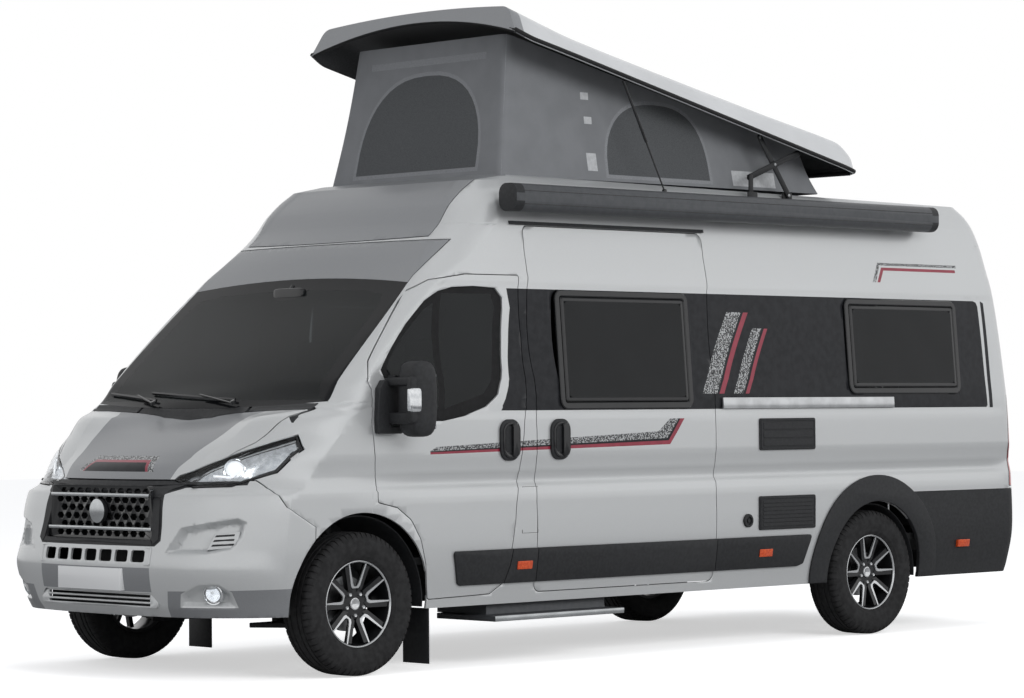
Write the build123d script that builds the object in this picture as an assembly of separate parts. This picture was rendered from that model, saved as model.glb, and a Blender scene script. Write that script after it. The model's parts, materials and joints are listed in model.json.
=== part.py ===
from build123d import *
import math
import os

# Camper van with a raised pop-top, built from a large panel van. Sizes are in millimetres.
# +X is forward, +Y is the vehicle's left, +Z is up. The origin is on the ground, midway along the length.

# Overall sizes
length = 6363
half_width = 1032
front_end = length / 2
rear_end = -length / 2
wheelbase = 4035
front_overhang = 948
front_axle_x = front_end - front_overhang
rear_axle_x = front_axle_x - wheelbase

# Wheels
tyre_radius = 364
front_track_half = 905
rear_track_half = 895
kingpin_y = 742
axle_z = tyre_radius

# Body shell
wall = 45
panel_gap = 5
half_gap = panel_gap / 2
sill_z = 320
roof_side_z = 2330
floor_z = 545
floor_thickness = 40
cab_floor_z = floor_z + floor_thickness - 2
glass_thickness = 6
arch_front_radius = 462
arch_rear_radius = 420
arch_inner_y = 560
screen_bottom_z = 1362
screen_top_z = 2042
bonnet_front_z = 1003

# Body sections from the sill up to the roof. Columns: height, then how far behind the front end the nose,
# the corner and the side begin, the corner's y, the bulge of the corner arc, how far the side lies inside
# the widest section, and how far ahead of the rear end the tail lies.
BODY_SECTIONS = [
    (sill_z, 72, 132, 492, 620, 62, 47, 40),
    (380, 36, 96, 480, 620, 65, 39, 20),
    (565, 5, 62, 452, 620, 87, 10, 0),
    (655, 16, 77, 447, 620, 71, 2, 4),
    (760, 48, 97, 452, 620, 69, 0, 9),
    (925, 77, 137, 482, 620, 66, 0, 18),
    (960, 88, 197, 562, 600, 77, 6, 20),
    (1005, 120, 227, 602, 560, 89, 13, 23),
    (1060, 160, 262, 642, 560, 95, 8, 26),
    (1110, 237, 312, 682, 560, 105, 0, 29),
    (1220, 460, 437, 792, 640, 89, 0, 36),
    (1310, 657, 542, 872, 680, 92, 1, 43),
    (screen_bottom_z, 682, 737, 982, 925, 38, 2, 47),
    (1500, 827, 871, 1052, 918, 34, 12, 58),
    (screen_top_z, 1412, 1446, 1602, 864, 32, 60, 116),
    (2175, 1523, 1582, 1802, 800, 36, 88, 136),
    (roof_side_z, 1685, 1745, 2005, 700, 77, 120, 165),
    (2425, 1762, 1802, 2082, 660, 84, 144, 196),
    (2500, 1847, 1882, 2122, 640, 80, 182, 225),
    (2568, 1947, 1967, 2162, 620, 70, 242, 262),
    (2605, 2122, 2142, 2282, 600, 50, 297, 3680),
]
rear_corner_radius = 110


def body_ring(section, inset, drop):
    """One closed wire of the body at one height, pulled in by inset and lowered by drop."""
    z, nose, corner, side, corner_y, bulge, side_in, tail = section
    z = z - drop
    nose_x = front_end - nose - inset
    corner_x = front_end - corner - inset
    side_x = front_end - side - inset
    tail_x = rear_end + tail + inset
    y = half_width - side_in - inset
    inner_y = corner_y - inset / 2
    run = Vector(side_x - corner_x, y - inner_y, 0)
    outward = Vector(-run.Y, run.X, 0) * (-1 / run.length)
    middle_x = (corner_x + side_x) / 2 + outward.X * bulge
    middle_y = (inner_y + y) / 2 + outward.Y * bulge
    r = rear_corner_radius
    diagonal = r * (1 - math.sqrt(0.5))
    edges = [
        ThreePointArc((corner_x, -inner_y, z), (nose_x, 0, z), (corner_x, inner_y, z)),
        ThreePointArc((corner_x, inner_y, z), (middle_x, middle_y, z), (side_x, y, z)),
        Line((side_x, y, z), (tail_x + r, y, z)),
        ThreePointArc((tail_x + r, y, z), (tail_x + diagonal, y - diagonal, z), (tail_x, y - r, z)),
        Line((tail_x, y - r, z), (tail_x, r - y, z)),
        ThreePointArc((tail_x, r - y, z), (tail_x + diagonal, diagonal - y, z), (tail_x + r, -y, z)),
        Line((tail_x + r, -y, z), (side_x, -y, z)),
        ThreePointArc((side_x, -y, z), (middle_x, -middle_y, z), (corner_x, -inner_y, z)),
    ]
    return Wire(edges)


def body_form(inset, open_bottom=False):
    """The whole outer form of the van, pulled in by inset. An open bottom runs on below the sill."""
    rings = []
    for section in BODY_SECTIONS:
        drop = inset if section[0] > roof_side_z else 0
        rings.append(body_ring(section, inset, drop))
    if open_bottom:
        rings.insert(0, body_ring(BODY_SECTIONS[0], inset, wall))
    return Solid.make_loft(rings, ruled=True)


def filleted(points, radius):
    face = make_face(Polyline(*points, close=True))
    return fillet(face.vertices(), radius) if radius else face


def side_block(face, y_from, y_to):
    """A block from an outline in x and z, between two y values."""
    return extrude(Pos(0, y_to, 0) * (Plane.XZ * face), amount=y_to - y_from)


def front_block(face, x_from, x_to):
    """A block from an outline in y and z, between two x values."""
    return extrude(Pos(x_from, 0, 0) * (Plane.YZ * face), amount=x_to - x_from)


def top_block(face, z_from, z_to):
    """A block from an outline in x and y, between two heights."""
    return extrude(Pos(0, 0, z_from) * face, amount=z_to - z_from)


def box_between(low, high):
    size = [high[i] - low[i] for i in range(3)]
    centre = [(high[i] + low[i]) / 2 for i in range(3)]
    return Pos(*centre) * Box(*size)


def rod_between(start, end, radius):
    start = Vector(*start)
    end = Vector(*end)
    axis = end - start
    plane = Plane(origin=start, z_dir=axis)
    return extrude(plane * Circle(radius), amount=axis.length)


def across(part):
    """The same piece on the other side of the van."""
    return mirror(part, about=Plane.XZ)


def both_sides(part):
    return Compound(children=[part, across(part)])


outer_form = body_form(0)
inner_form = body_form(wall, open_bottom=True)
glass_form = body_form(glass_thickness, open_bottom=True)
shell = outer_form - inner_form
skin = outer_form - glass_form
bonnet_thickness = 10

# Side openings, as outlines in x and z from the front axle and the ground
door_rear_x = front_axle_x - 1170
slider_front_x = front_axle_x - 1229
slider_length = 1406
slider_rear_x = slider_front_x - slider_length
slider_bottom_z = 372
slider_top_z = 2320
DOOR_OUTLINE = [
    (-468, 366), (-434, 546), (-390, 680), (-322, 783), (-235, 845), (-105, 874), (-64, 1250), (-60, 1443),
    (-42, 1490), (-88, 1594), (-288, 1825), (-405, 1952), (-531, 2016), (-768, 2050), (-1157, 2052),
    (-1180, 1718), (-1152, 1350), (-1104, 997), (-1056, 684), (-1028, 520), (-992, 425), (-908, 375),
]
GLASS_OUTLINE = [
    (-150, 1545), (-359, 1781), (-490, 1905), (-586, 1957), (-680, 1980), (-837, 1989), (-993, 1982),
    (-1048, 1930), (-1052, 1870), (-1034, 1694), (-1007, 1545), (-950, 1420), (-867, 1359), (-712, 1309),
    (-559, 1283), (-300, 1283), (-190, 1330),
]
# Side windows. Columns: rear x from the front axle, length, bottom z, top z.
SIDE_WINDOWS = [
    (-2450, 1042, 1340, 1980),
    (-4842, 1042, 1417, 1976),
]
window_corner = 55


def from_axle(points):
    return [(front_axle_x + x, z) for x, z in points]


door_face = filleted(from_axle(DOOR_OUTLINE), 12)
glass_face = filleted(from_axle(GLASS_OUTLINE), 12)
slider_face = Pos(slider_front_x - slider_length / 2, (slider_bottom_z + slider_top_z) / 2) * RectangleRounded(
    slider_length, slider_top_z - slider_bottom_z, 45
)
y_inside = 892
y_outside = half_width + 60


def window_face(row):
    rear, long, bottom, top = row
    centre_x = front_axle_x + rear + long / 2
    return Pos(centre_x, (bottom + top) / 2) * RectangleRounded(long, top - bottom, window_corner)


def gapped(face):
    """A panel's outline, made smaller by half the gap round it."""
    return offset(face, amount=-panel_gap / 2)


def opening_face(face):
    return offset(face, amount=panel_gap / 2)


# Front openings. The bonnet's outline is in x behind the front end and y.
BONNET_OUTLINE = [
    (60, 0), (100, 470), (260, 640), (440, 790), (640, 880), (690, 880), (690, 846), (668, 600), (640, 0),
]
HEADLAMP_OUTLINE = [
    (462, 1000), (478, 1020), (700, 1112), (850, 1180), (938, 1222), (985, 1150), (940, 1035), (800, 968),
    (600, 962),
]
SCREEN_CORNERS = [(943, 1388), (867, 2004)]
bumper_top_z = 998
BUMPER_EDGE = [(372, bumper_top_z), (456, 865), (630, 763)]


def screen_face():
    (low_y, low_z), (high_y, high_z) = SCREEN_CORNERS
    edges = [
        ThreePointArc((-low_y, low_z), (0, screen_bottom_z - 5), (low_y, low_z)),
        Line((low_y, low_z), (high_y, high_z)),
        ThreePointArc((high_y, high_z), (0, screen_top_z + 5), (-high_y, high_z)),
        Line((-high_y, high_z), (-low_y, low_z)),
    ]
    return make_face(edges)


def bonnet_face(grow):
    half = [(front_end - back, y) for back, y in BONNET_OUTLINE]
    other = [(x, -y) for x, y in reversed(half) if y]
    face = make_face(Polyline(*half, *other, close=True))
    return offset(face, amount=grow) if grow else face


def headlamp_block(grow):
    face = make_face(Polyline(*HEADLAMP_OUTLINE, close=True))
    face = offset(face, amount=grow) if grow else face
    return front_block(face, front_end - 760, front_end)


def bumper_block(grow):
    edge = [(front_end - back - grow, z) for back, z in BUMPER_EDGE]
    top_z = bumper_top_z + grow
    outline = [(front_end + 50, top_z), (edge[0][0], top_z), *edge[1:], (edge[2][0], 250), (front_end + 50, 250)]
    return side_block(make_face(Polyline(*outline, close=True)), -y_outside, y_outside)


screen_cut = front_block(screen_face(), front_end - 1700, front_end)
bonnet_cut = top_block(bonnet_face(half_gap), bonnet_front_z - panel_gap, screen_bottom_z)
bonnet_panel = top_block(bonnet_face(-half_gap), bonnet_front_z, screen_bottom_z - 8)
headlamp_cut = headlamp_block(half_gap)
headlamp_panel = headlamp_block(-half_gap)
front_arch = Pos(front_axle_x, 0, axle_z) * Rot(90, 0, 0) * Cylinder(arch_front_radius, 3 * half_width)
rear_arch = Pos(rear_axle_x, 0, axle_z) * Rot(90, 0, 0) * Cylinder(arch_rear_radius, 3 * half_width)
arches = front_arch + rear_arch


# Lugs across the gaps, in the inner part of the wall. Each box is given by two opposite corners.
running_gap = 0.3
HEADLAMP_LUGS = [((0, 930, 1075), (front_end, 1040, 1105)), ((0, 690, 930), (front_end, 720, 990))]
BUMPER_LUGS = [
    ((front_end - 440, 860, 915), (front_end - 390, 1040, 945)),
    ((front_end - 440, -1040, 915), (front_end - 390, -860, 945)),
]
HEADER_LUGS = [((0, 850, 2120), (front_end, 890, 2160)), ((0, -890, 2120), (front_end, -850, 2160))]
DOOR_LUGS = [
    ((front_axle_x - 80, 0, 1100), (front_axle_x, y_outside, 1160)),
    ((front_axle_x - 80, 0, 1380), (front_axle_x, y_outside, 1430)),
]
TAIL_LUGS = [((rear_end, 860, 1100), (0, 900, 1140))]
REAR_LUGS = [((rear_end, 855, z), (0, 863.6, z + 60)) for z in (900, 1300, 2050)]
lug_layer = body_form(wall / 2) - inner_form


def lugs(whole, piece, boxes):
    """What fills the gap between a piece and the edge of its opening, inside the given boxes."""
    region = lug_layer & (whole - piece)
    zone = box_between(*boxes[0])
    for corners in boxes[1:]:
        zone = zone + box_between(*corners)
    return region & zone


def cab_door():
    block = side_block(gapped(door_face), y_inside, y_outside)
    opening = side_block(offset(door_face, amount=half_gap - running_gap), y_inside, y_outside)
    panel = block - side_block(glass_face, y_inside, y_outside)
    return (shell & panel) + lugs(opening, block, DOOR_LUGS)


def cab_glass():
    depth_form = body_form(14, open_bottom=True) - body_form(14 + glass_thickness, open_bottom=True)
    return depth_form & side_block(offset(glass_face, amount=-0.3), y_inside, y_outside)


def sliding_door():
    block = side_block(gapped(slider_face), y_inside, y_outside)
    block = block - side_block(window_face(SIDE_WINDOWS[0]), y_inside, y_outside)
    return shell & block


def side_windows():
    panes = []
    for row in SIDE_WINDOWS:
        pane = skin & side_block(window_face(row), y_inside, y_outside)
        panes.append(pane)
        panes.append(across(pane))
    return Compound(children=panes)


# Rear doors, as outlines in y and z
rear_door_half = 862
rear_centre_gap = 10
rear_door_bottom_z = 530
rear_door_top_z = 2290
rear_door_rise = 2
rear_window_y = (130, 745)
rear_window_z = (1350, 1960)


def rear_door_face(shrink):
    start = rear_centre_gap / 2 - half_gap
    width = rear_door_half - start - 2 * shrink
    height = rear_door_top_z - rear_door_bottom_z - 2 * shrink
    centre_y = (start + rear_door_half) / 2
    return Pos(centre_y, (rear_door_bottom_z + rear_door_top_z) / 2) * RectangleRounded(width, height, 40)


def rear_window_face():
    width = rear_window_y[1] - rear_window_y[0]
    height = rear_window_z[1] - rear_window_z[0]
    return Pos(sum(rear_window_y) / 2, sum(rear_window_z) / 2) * RectangleRounded(width, height, window_corner)


rear_block_x = rear_end + 520


def rear_door():
    """One rear door. Its top is trimmed a little, because it rises as it swings on its leaning hinge."""
    block = front_block(rear_door_face(half_gap), rear_end - 50, rear_block_x)
    below_z = rear_door_top_z - half_gap - rear_door_rise
    block = block & box_between((rear_end - 100, 0, 0), (rear_block_x, 1200, below_z))
    opening = front_block(rear_door_face(running_gap - half_gap), rear_end - 50, rear_block_x)
    panel = block - front_block(rear_window_face(), rear_end - 50, rear_block_x)
    return (shell & panel) + lugs(opening, block, REAR_LUGS)


def rear_glass():
    return skin & front_block(rear_window_face(), rear_end - 50, rear_block_x)


rear_trim_top_z = 830
rear_trim_start_x = rear_axle_x - 290
bumper_step_z = rear_door_bottom_z - panel_gap


def rear_bumper():
    corner = box_between((rear_end - 50, rear_door_half, sill_z), (rear_trim_start_x, y_outside, rear_trim_top_z))
    middle = box_between(
        (rear_end - 50, -rear_door_half, sill_z), (rear_end + 180, rear_door_half, bumper_step_z)
    )
    return shell & (corner + across(corner) + middle) - rear_arch


def rear_bumper_cut():
    gap = half_gap
    corner = box_between(
        (rear_end - 50, rear_door_half - gap, 200), (rear_trim_start_x + gap, y_outside, rear_trim_top_z + gap)
    )
    low = (rear_end - 50, -rear_door_half - gap, 200)
    middle = box_between(low, (rear_end + 180 + gap, rear_door_half + gap, bumper_step_z + 45))
    return corner + across(corner) + middle


tail_lamp_y = 880
tail_lamp_z = (842, 1412)


def tail_lamp(grow):
    low = (rear_end - 50, tail_lamp_y - grow, tail_lamp_z[0] - grow)
    high = (rear_end + rear_corner_radius + grow, y_outside, tail_lamp_z[1] + grow)
    return box_between(low, high)


# Pop-top opening in the roof, its tent and its linkage
tent_front_x = front_end - 2240
tent_length = 2640
tent_half_bottom = 705
roof_top_z = BODY_SECTIONS[-1][0]
roof_opening = box_between(
    (tent_front_x - tent_length + 330, -560, roof_top_z - 300), (tent_front_x - 330, 560, roof_top_z + 100)
)

roof_cut_z = slider_top_z + panel_gap / 2
fairing_back_x = front_end - 2242
fairing_half = 742


def fairing_block(grow):
    back_x = fairing_back_x - grow
    front_x = front_end - 1200
    top_z = roof_top_z + 100
    outline = [
        (front_x, 2180), (front_x, top_z), (back_x, top_z), (back_x, 2568), (front_end - 1700, 2262 - grow),
    ]
    return side_block(make_face(Polyline(*outline, close=True)), -fairing_half - grow, fairing_half + grow)


def header_block(grow):
    low = (front_end - 1800, -866 - grow, screen_top_z - 60)
    high = (front_end - 1200, 866 + grow, 2236 + grow)
    return box_between(low, high) - screen_cut


# Front face. Columns of each opening: half width at the bottom, bottom z, half width at the top, top z.
GRILLE_OPENING = (440, 700, 405, 972)
INTAKE_OPENING = (512, 362, 440, 438)
slot_count = 7
slot_pitch = 121
slot_z = (592, 652)
slot_width = 96
grille_depth = 26
grille_face_back = 78
hex_pitch = 68
hex_web = 9
plate_size = (520, 111)
plate_z = 503
plate_depth = 40


def trapezoid(opening, grow):
    low_half, low, high_half, high = opening
    points = [(-low_half, low), (low_half, low), (high_half, high), (-high_half, high)]
    face = make_face(Polyline(*points, close=True))
    face = fillet(face.vertices(), 22)
    return offset(face, amount=grow) if grow else face


# The bonnet's two hinge arms, each in a slot of the cowl. Points are x and z.
bonnet_pivot = (front_end - 711, 1345)
bonnet_arm_end = (front_end - 617, 1304)
bonnet_arm_y = (444, 456)
bonnet_arm_width = 14


def both_bonnet_arms():
    start, end = bonnet_pivot, bonnet_arm_end
    run = math.dist(start, end)
    angle = math.degrees(math.atan2(end[1] - start[1], end[0] - start[0]))
    face = Pos(*start) * Rot(0, 0, angle) * Pos(run / 2, 0) * SlotCenterToCenter(run, bonnet_arm_width)
    arm = side_block(face, *bonnet_arm_y)
    pin_end = bonnet_arm_y[1] + panel_gap - running_gap
    arm = arm + side_block(Pos(*start) * Circle(bonnet_arm_width / 2), bonnet_arm_y[1], pin_end)
    return arm + across(arm)


def bonnet_arm_slots():
    low = (bonnet_pivot[0] - 20, bonnet_arm_y[0] - panel_gap, 1200)
    high = (bonnet_pivot[0] + 200, bonnet_arm_y[1] + panel_gap, 1500)
    slot = box_between(low, high)
    return slot + across(slot)


def front_openings():
    deep = front_end - 260
    cut = front_block(trapezoid(GRILLE_OPENING, 0), deep, front_end)
    cut = cut + front_block(trapezoid(INTAKE_OPENING, 0), deep, front_end)
    slot_face = RectangleRounded(slot_width, slot_z[1] - slot_z[0], 14)
    for i in range(slot_count):
        y = (i - (slot_count - 1) / 2) * slot_pitch
        cut = cut + front_block(Pos(y, sum(slot_z) / 2) * slot_face, deep, front_end)
    return cut


def grille():
    """A honeycomb panel in the upper opening, with two bars and a plain disc in front of it."""
    face_x = front_end - grille_face_back
    outline = trapezoid(GRILLE_OPENING, -0.3)
    low_half, low, high_half, high = GRILLE_OPENING
    panel = front_block(outline, face_x - grille_depth, face_x)
    row_pitch = hex_pitch * 0.62
    cell = RegularPolygon((row_pitch - hex_web) / 2, 6, major_radius=False)
    rows = int((high - low) / row_pitch)
    cells = []
    for row in range(rows):
        z = low + row_pitch * (row + 0.72)
        shift = hex_pitch / 2 if row % 2 else 0
        count = int((low_half - 40) / hex_pitch)
        for column in range(-count, count + 1):
            y = column * hex_pitch + shift
            if abs(y) < high_half - 8 and z < high - row_pitch / 2:
                stretched = scale(cell, by=(hex_pitch / row_pitch * 0.94, 1, 1))
                cells.append(front_block(Pos(y, z) * stretched, face_x - grille_depth - 1, face_x + 1))
    return panel - cells


def grille_bars():
    face_x = front_end - grille_face_back
    low_half, low, high_half, high = GRILLE_OPENING
    bars = []
    for share in (0.2, 0.82):
        z = low + (high - low) * share
        half = low_half + (high_half - low_half) * share - 6
        bars.append(box_between((face_x, -half, z - 9), (face_x + 14, half, z + 9)))
    disc_z = low + (high - low) * 0.52
    disc = extrude(Plane(origin=(face_x, 0, disc_z), z_dir=(1, 0, 0)) * Circle(62), amount=26)
    return [*bars, disc]


def intake_slats():
    low_half, low, high_half, high = INTAKE_OPENING
    face = trapezoid(INTAKE_OPENING, -0.3)
    x = front_end - 62
    frame = front_block(face, x - 20, x)
    rows = 3
    pitch = (high - low) / (rows + 0.5)
    for row in range(rows):
        z = low + pitch * (row + 0.75)
        slot_half = low_half - 90
        frame = frame - box_between((x - 21, -slot_half, z - pitch * 0.28), (x + 1, slot_half, z + pitch * 0.28))
    return frame


def number_plate():
    width, height = plate_size
    low = (front_end - plate_depth, -width / 2, plate_z - height / 2)
    high = (front_end, width / 2, plate_z + height / 2)
    return box_between(low, high) - outer_form


# Side trim, proud of the body
trim_thickness = 14
marker_thickness = 20
trim_z = (427, 608)
TRIM_OUTLINE = [(-618, 608), (-661, 440), (-680, 427), (-3333, 427), (-3385, 442), (-3444, 608)]
flare_radius = 575

trim_layer = body_form(-trim_thickness) - outer_form
trim_face = make_face(Polyline(*from_axle(TRIM_OUTLINE), close=True))
trim_face = fillet(trim_face.vertices(), 16)


def handle_plate(x, grow=0):
    return Pos(x, 1180) * RectangleRounded(142 + 2 * grow, 218 + 2 * grow, 62)


door_handle_x = front_axle_x - 1023
slider_handle_x = slider_front_x - 168


def patch(place, layer):
    """Part of a layer of trim. The place gives its rear x from the front axle, length, bottom z and height."""
    back, long, low, high = place
    x = front_axle_x + back
    return layer & box_between((x, y_inside - 30, low), (x + long, y_outside + 20, low + high))


def door_trim():
    strip = trim_layer & side_block(trim_face & gapped(door_face), y_inside, y_outside)
    plate = trim_layer & side_block(handle_plate(door_handle_x), y_inside, y_outside)
    return Compound(children=[strip, plate])


def side_trim(left):
    face = trim_face - opening_face(door_face)
    strip = trim_layer & side_block(face, y_inside, y_outside)
    solids = [strip]
    if left:
        for x in (slider_front_x, slider_rear_x):
            strip = strip - box_between((x - half_gap, 800, 300), (x + half_gap, 1200, 700))
        plate = trim_layer & side_block(handle_plate(slider_handle_x), y_inside, y_outside)
        solids = [strip, plate, patch(rail_place, trim_layer), patch(rail_cover, trim_layer)]
    return solids


def flare():
    ring = Cylinder(flare_radius, 3 * half_width) - Cylinder(arch_rear_radius, 3 * half_width)
    ring = Pos(rear_axle_x, 0, axle_z) * Rot(90, 0, 0) * ring
    keep = box_between((rear_axle_x - 600, y_inside, sill_z), (rear_axle_x + 600, y_outside, 1100))
    return trim_layer & ring & keep


# Things fixed to the left side. Columns: rear x from the front axle, length, bottom z, height.
VENTS = [(-3476, 480, 1098, 181), (-3473, 485, 645, 192)]
flue_place = (-2894, 702)
flue_radius = 38
rail_place = (-4190, 1502, 1336, 62)
rail_cover = (-2660, 1515, 2326, 18)
MARKERS = [(-1133, 519), (-3049, 514), (-4853, 510)]
marker_size = (110, 44)


def fridge_vents():
    solids = [patch(row, trim_layer) for row in VENTS]
    disc = Pos(front_axle_x + flue_place[0], flue_place[1]) * Circle(flue_radius)
    solids.append(trim_layer & side_block(disc, y_inside, y_outside))
    return Compound(children=solids)


def signal_lamps():
    """Red lamps at the rear corners and amber markers along the sides."""
    on_trim = body_form(-marker_thickness) - body_form(-trim_thickness)
    on_body = body_form(-marker_thickness) - outer_form
    tail = (shell & tail_lamp(-half_gap)) + lugs(tail_lamp(half_gap), tail_lamp(-half_gap), TAIL_LUGS)
    solids = [tail, across(tail)]
    for i, (back, z) in enumerate(MARKERS):
        layer = on_body if i == 2 else on_trim
        lamp = patch((back - marker_size[0] / 2, marker_size[0], z - marker_size[1] / 2, marker_size[1]), layer)
        solids += [lamp, across(lamp)]
    return Compound(children=solids)


# Awning case on the left edge of the roof
awning_length = 3540
awning_front_x = front_axle_x - 1063
awning_z = (2388, 2538)
awning_y = (925, 1062)
awning_cap = 60
bracket_width = 70


def awning():
    width = awning_y[1] - awning_y[0]
    height = awning_z[1] - awning_z[0]
    outline = RectangleRounded(width, height, 52)
    outline = outline + Pos(-width / 4, 0) * Rectangle(width / 2, height * 0.86)
    rear = awning_front_x - awning_length
    place = Pos(sum(awning_y) / 2, sum(awning_z) / 2)
    case = front_block(place * outline, rear + awning_cap, awning_front_x - awning_cap)
    end_face = place * RectangleRounded(width, height, 54)
    for x in (rear, awning_front_x - awning_cap):
        case = case + front_block(end_face, x, x + awning_cap)
    for x in (awning_front_x - 300, awning_front_x - awning_length / 2, rear + 300):
        low = (x - bracket_width / 2, 800, awning_z[0] + 22)
        high = (x + bracket_width / 2, awning_y[0] + 20, awning_z[0] + 62)
        case = case + (box_between(low, high) - outer_form)
    return case


# Step and mud flaps
step_x = (front_axle_x - 1864, front_axle_x - 894)
step_z = (232, 262)
step_reach = half_width + 20


def entrance_step():
    housing = box_between((step_x[0] + 40, 560, step_z[1]), (step_x[1] - 40, 940, sill_z + 60))
    tread = box_between((step_x[0], 600, step_z[0]), (step_x[1], step_reach, step_z[1]))
    return housing + tread


flap_x = front_axle_x - 478
flap_bottom_z = 34


def mud_flap():
    return box_between((flap_x - 8, 790, flap_bottom_z), (flap_x, 985, sill_z))


# Running gear
liner_gap = 14
liner_thickness = 6
liner_bottom_z = 330
rail_y = (430, 490)
rail_z = (445, floor_z)
ball_joint_z = 258
fit_gap = 0.3
strut_radius = 24
strut_top_z = 770
hub_inset = 30

# Plate at the back of the rails with four holes for a tow bar
tow_plate_x = rear_end + 182
tow_plate_z = (425, rail_z[1])
tow_centre_z = 480
tow_spacing = (560, 60)
tow_hole_radius = 6.5


def wheel_housing(axle_x, arch_radius):
    outer = arch_radius - liner_gap
    inner = outer - liner_thickness
    width = half_width - wall - 12 - arch_inner_y
    centre_y = arch_inner_y + width / 2
    ring = Cylinder(outer, width) - Cylinder(inner, width)
    ring = Pos(axle_x, centre_y, axle_z) * Rot(90, 0, 0) * ring
    wall_disc = Cylinder(outer, liner_thickness)
    wall_disc = Pos(axle_x, arch_inner_y + liner_thickness / 2, axle_z) * Rot(90, 0, 0) * wall_disc
    keep = box_between((axle_x - 600, 0, liner_bottom_z), (axle_x + 600, 1200, 1100))
    return (ring + wall_disc) & keep


def underbody_plastics():
    """Wheel housings with the strut towers, the mud flaps behind the front wheels, and the tank."""
    front = wheel_housing(front_axle_x, arch_front_radius)
    top_z = axle_z + arch_front_radius - liner_gap - liner_thickness
    tower_low = strut_top_z + fit_gap
    tower_high = top_z + 4
    tower = Pos(front_axle_x, kingpin_y, (tower_low + tower_high) / 2) * Cylinder(
        2.4 * strut_radius, tower_high - tower_low
    )
    front = front + tower
    axle_hole = Pos(rear_axle_x, arch_inner_y, axle_z) * Rot(90, 0, 0) * Cylinder(70, 60)
    rear = wheel_housing(rear_axle_x, arch_rear_radius) - axle_hole
    solids = [fuel_tank()]
    for piece in (front, rear, mud_flap()):
        solids += [piece, across(piece)]
    return Compound(children=solids)


def front_tunnel(grow):
    """The space of the front wheel housing on both sides, made larger by grow."""
    tunnel = Pos(front_axle_x, arch_inner_y - grow + 500, axle_z) * Rot(90, 0, 0) * Cylinder(
        arch_front_radius - liner_gap + grow, 1000
    )
    return tunnel + across(tunnel)


def bulkhead():
    """The wall between the engine bay and the cab, joined to the floor."""
    x = front_axle_x + 60
    plate = box_between((x, -905, rail_z[1]), (x + 18, 905, 1290))
    return (plate & body_form(wall + 12, open_bottom=True)) - front_tunnel(0)


def floor_pan():
    """The flat floor with the two rails under it."""
    slab = box_between((rear_end + 66, -1200, floor_z), (front_axle_x + 60, 1200, floor_z + floor_thickness))
    cargo = inner_form & slab & box_between((rear_end, -1200, 0), (slider_front_x, 1200, 1000))
    cab_zone = box_between((slider_front_x, -1200, 0), (front_end, 1200, 1000))
    cab_slab = box_between((rear_end + 66, -1200, floor_z), (front_axle_x + 60, 1200, cab_floor_z))
    cab = body_form(wall + 12, open_bottom=True) & cab_slab & cab_zone
    floor = cargo + cab
    rail = box_between((rear_end + 190, rail_y[0], rail_z[0]), (front_axle_x + 420, rail_y[1], rail_z[1]))
    floor = floor + rail + across(rail)
    for x in (front_axle_x - 700, (front_axle_x + rear_axle_x) / 2, rear_axle_x + 620, rear_axle_x - 780):
        floor = floor + box_between((x - 30, -rail_y[0], rail_z[0] + 20), (x + 30, rail_y[0], rail_z[1]))
    plate = box_between((tow_plate_x, -rail_y[1], tow_plate_z[0]), (tow_plate_x + 8, rail_y[1], tow_plate_z[1]))
    for y in (-tow_spacing[0] / 2, tow_spacing[0] / 2):
        for z in (-tow_spacing[1] / 2, tow_spacing[1] / 2):
            start = (tow_plate_x - 5, y, tow_centre_z + z)
            end = (tow_plate_x + 20, y, tow_centre_z + z)
            plate = plate - rod_between(start, end, tow_hole_radius)
    floor = floor + plate + bulkhead()
    for axle_x, radius in ((front_axle_x, arch_front_radius), (rear_axle_x, arch_rear_radius)):
        hole = Pos(axle_x, arch_inner_y + 500, axle_z) * Rot(90, 0, 0) * Cylinder(radius - liner_gap, 1000)
        floor = floor - hole - across(hole)
    return floor


def front_subframe():
    """Cross member and lower arms that carry the knuckles and the engine."""
    beam = box_between((front_axle_x - 90, -rail_y[1], 330), (front_axle_x + 90, rail_y[1], 400))
    legs = box_between((front_axle_x - 60, rail_y[0], 400), (front_axle_x + 60, rail_y[1], rail_z[0]))
    mounts = box_between((front_axle_x + 90, -300, 350), (front_axle_x + 420, 300, 400))
    arm_z = ball_joint_z - fit_gap
    arm_face = make_face(
        Polyline((-230, 400), (230, 400), (120, 560), (34, kingpin_y), (-34, kingpin_y), (-120, 560), close=True)
    )
    arm = top_block(Pos(front_axle_x, 0) * arm_face, arm_z - 26, arm_z)
    arm = arm + Pos(front_axle_x, kingpin_y, arm_z - 13) * Cylinder(34, 26)
    post = box_between((front_axle_x - 80, 400, arm_z - 26), (front_axle_x + 80, 440, 345))
    frame = beam + legs + across(legs) + mounts
    return frame + arm + across(arm) + post + across(post)


def knuckle():
    strut = Cylinder(strut_radius, strut_top_z - ball_joint_z)
    strut = Pos(front_axle_x, kingpin_y, (ball_joint_z + strut_top_z) / 2) * strut
    hub_y = front_track_half - hub_inset - fit_gap
    hub = Pos(front_axle_x, (kingpin_y + hub_y) / 2, axle_z) * Rot(90, 0, 0) * Cylinder(46, hub_y - kingpin_y)
    seat = Pos(front_axle_x, kingpin_y, 690) * Cylinder(44, 12)
    steering_arm = box_between((front_axle_x - 130, kingpin_y - 16, 300), (front_axle_x, kingpin_y + 16, 324))
    return strut + hub + seat + steering_arm


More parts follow.
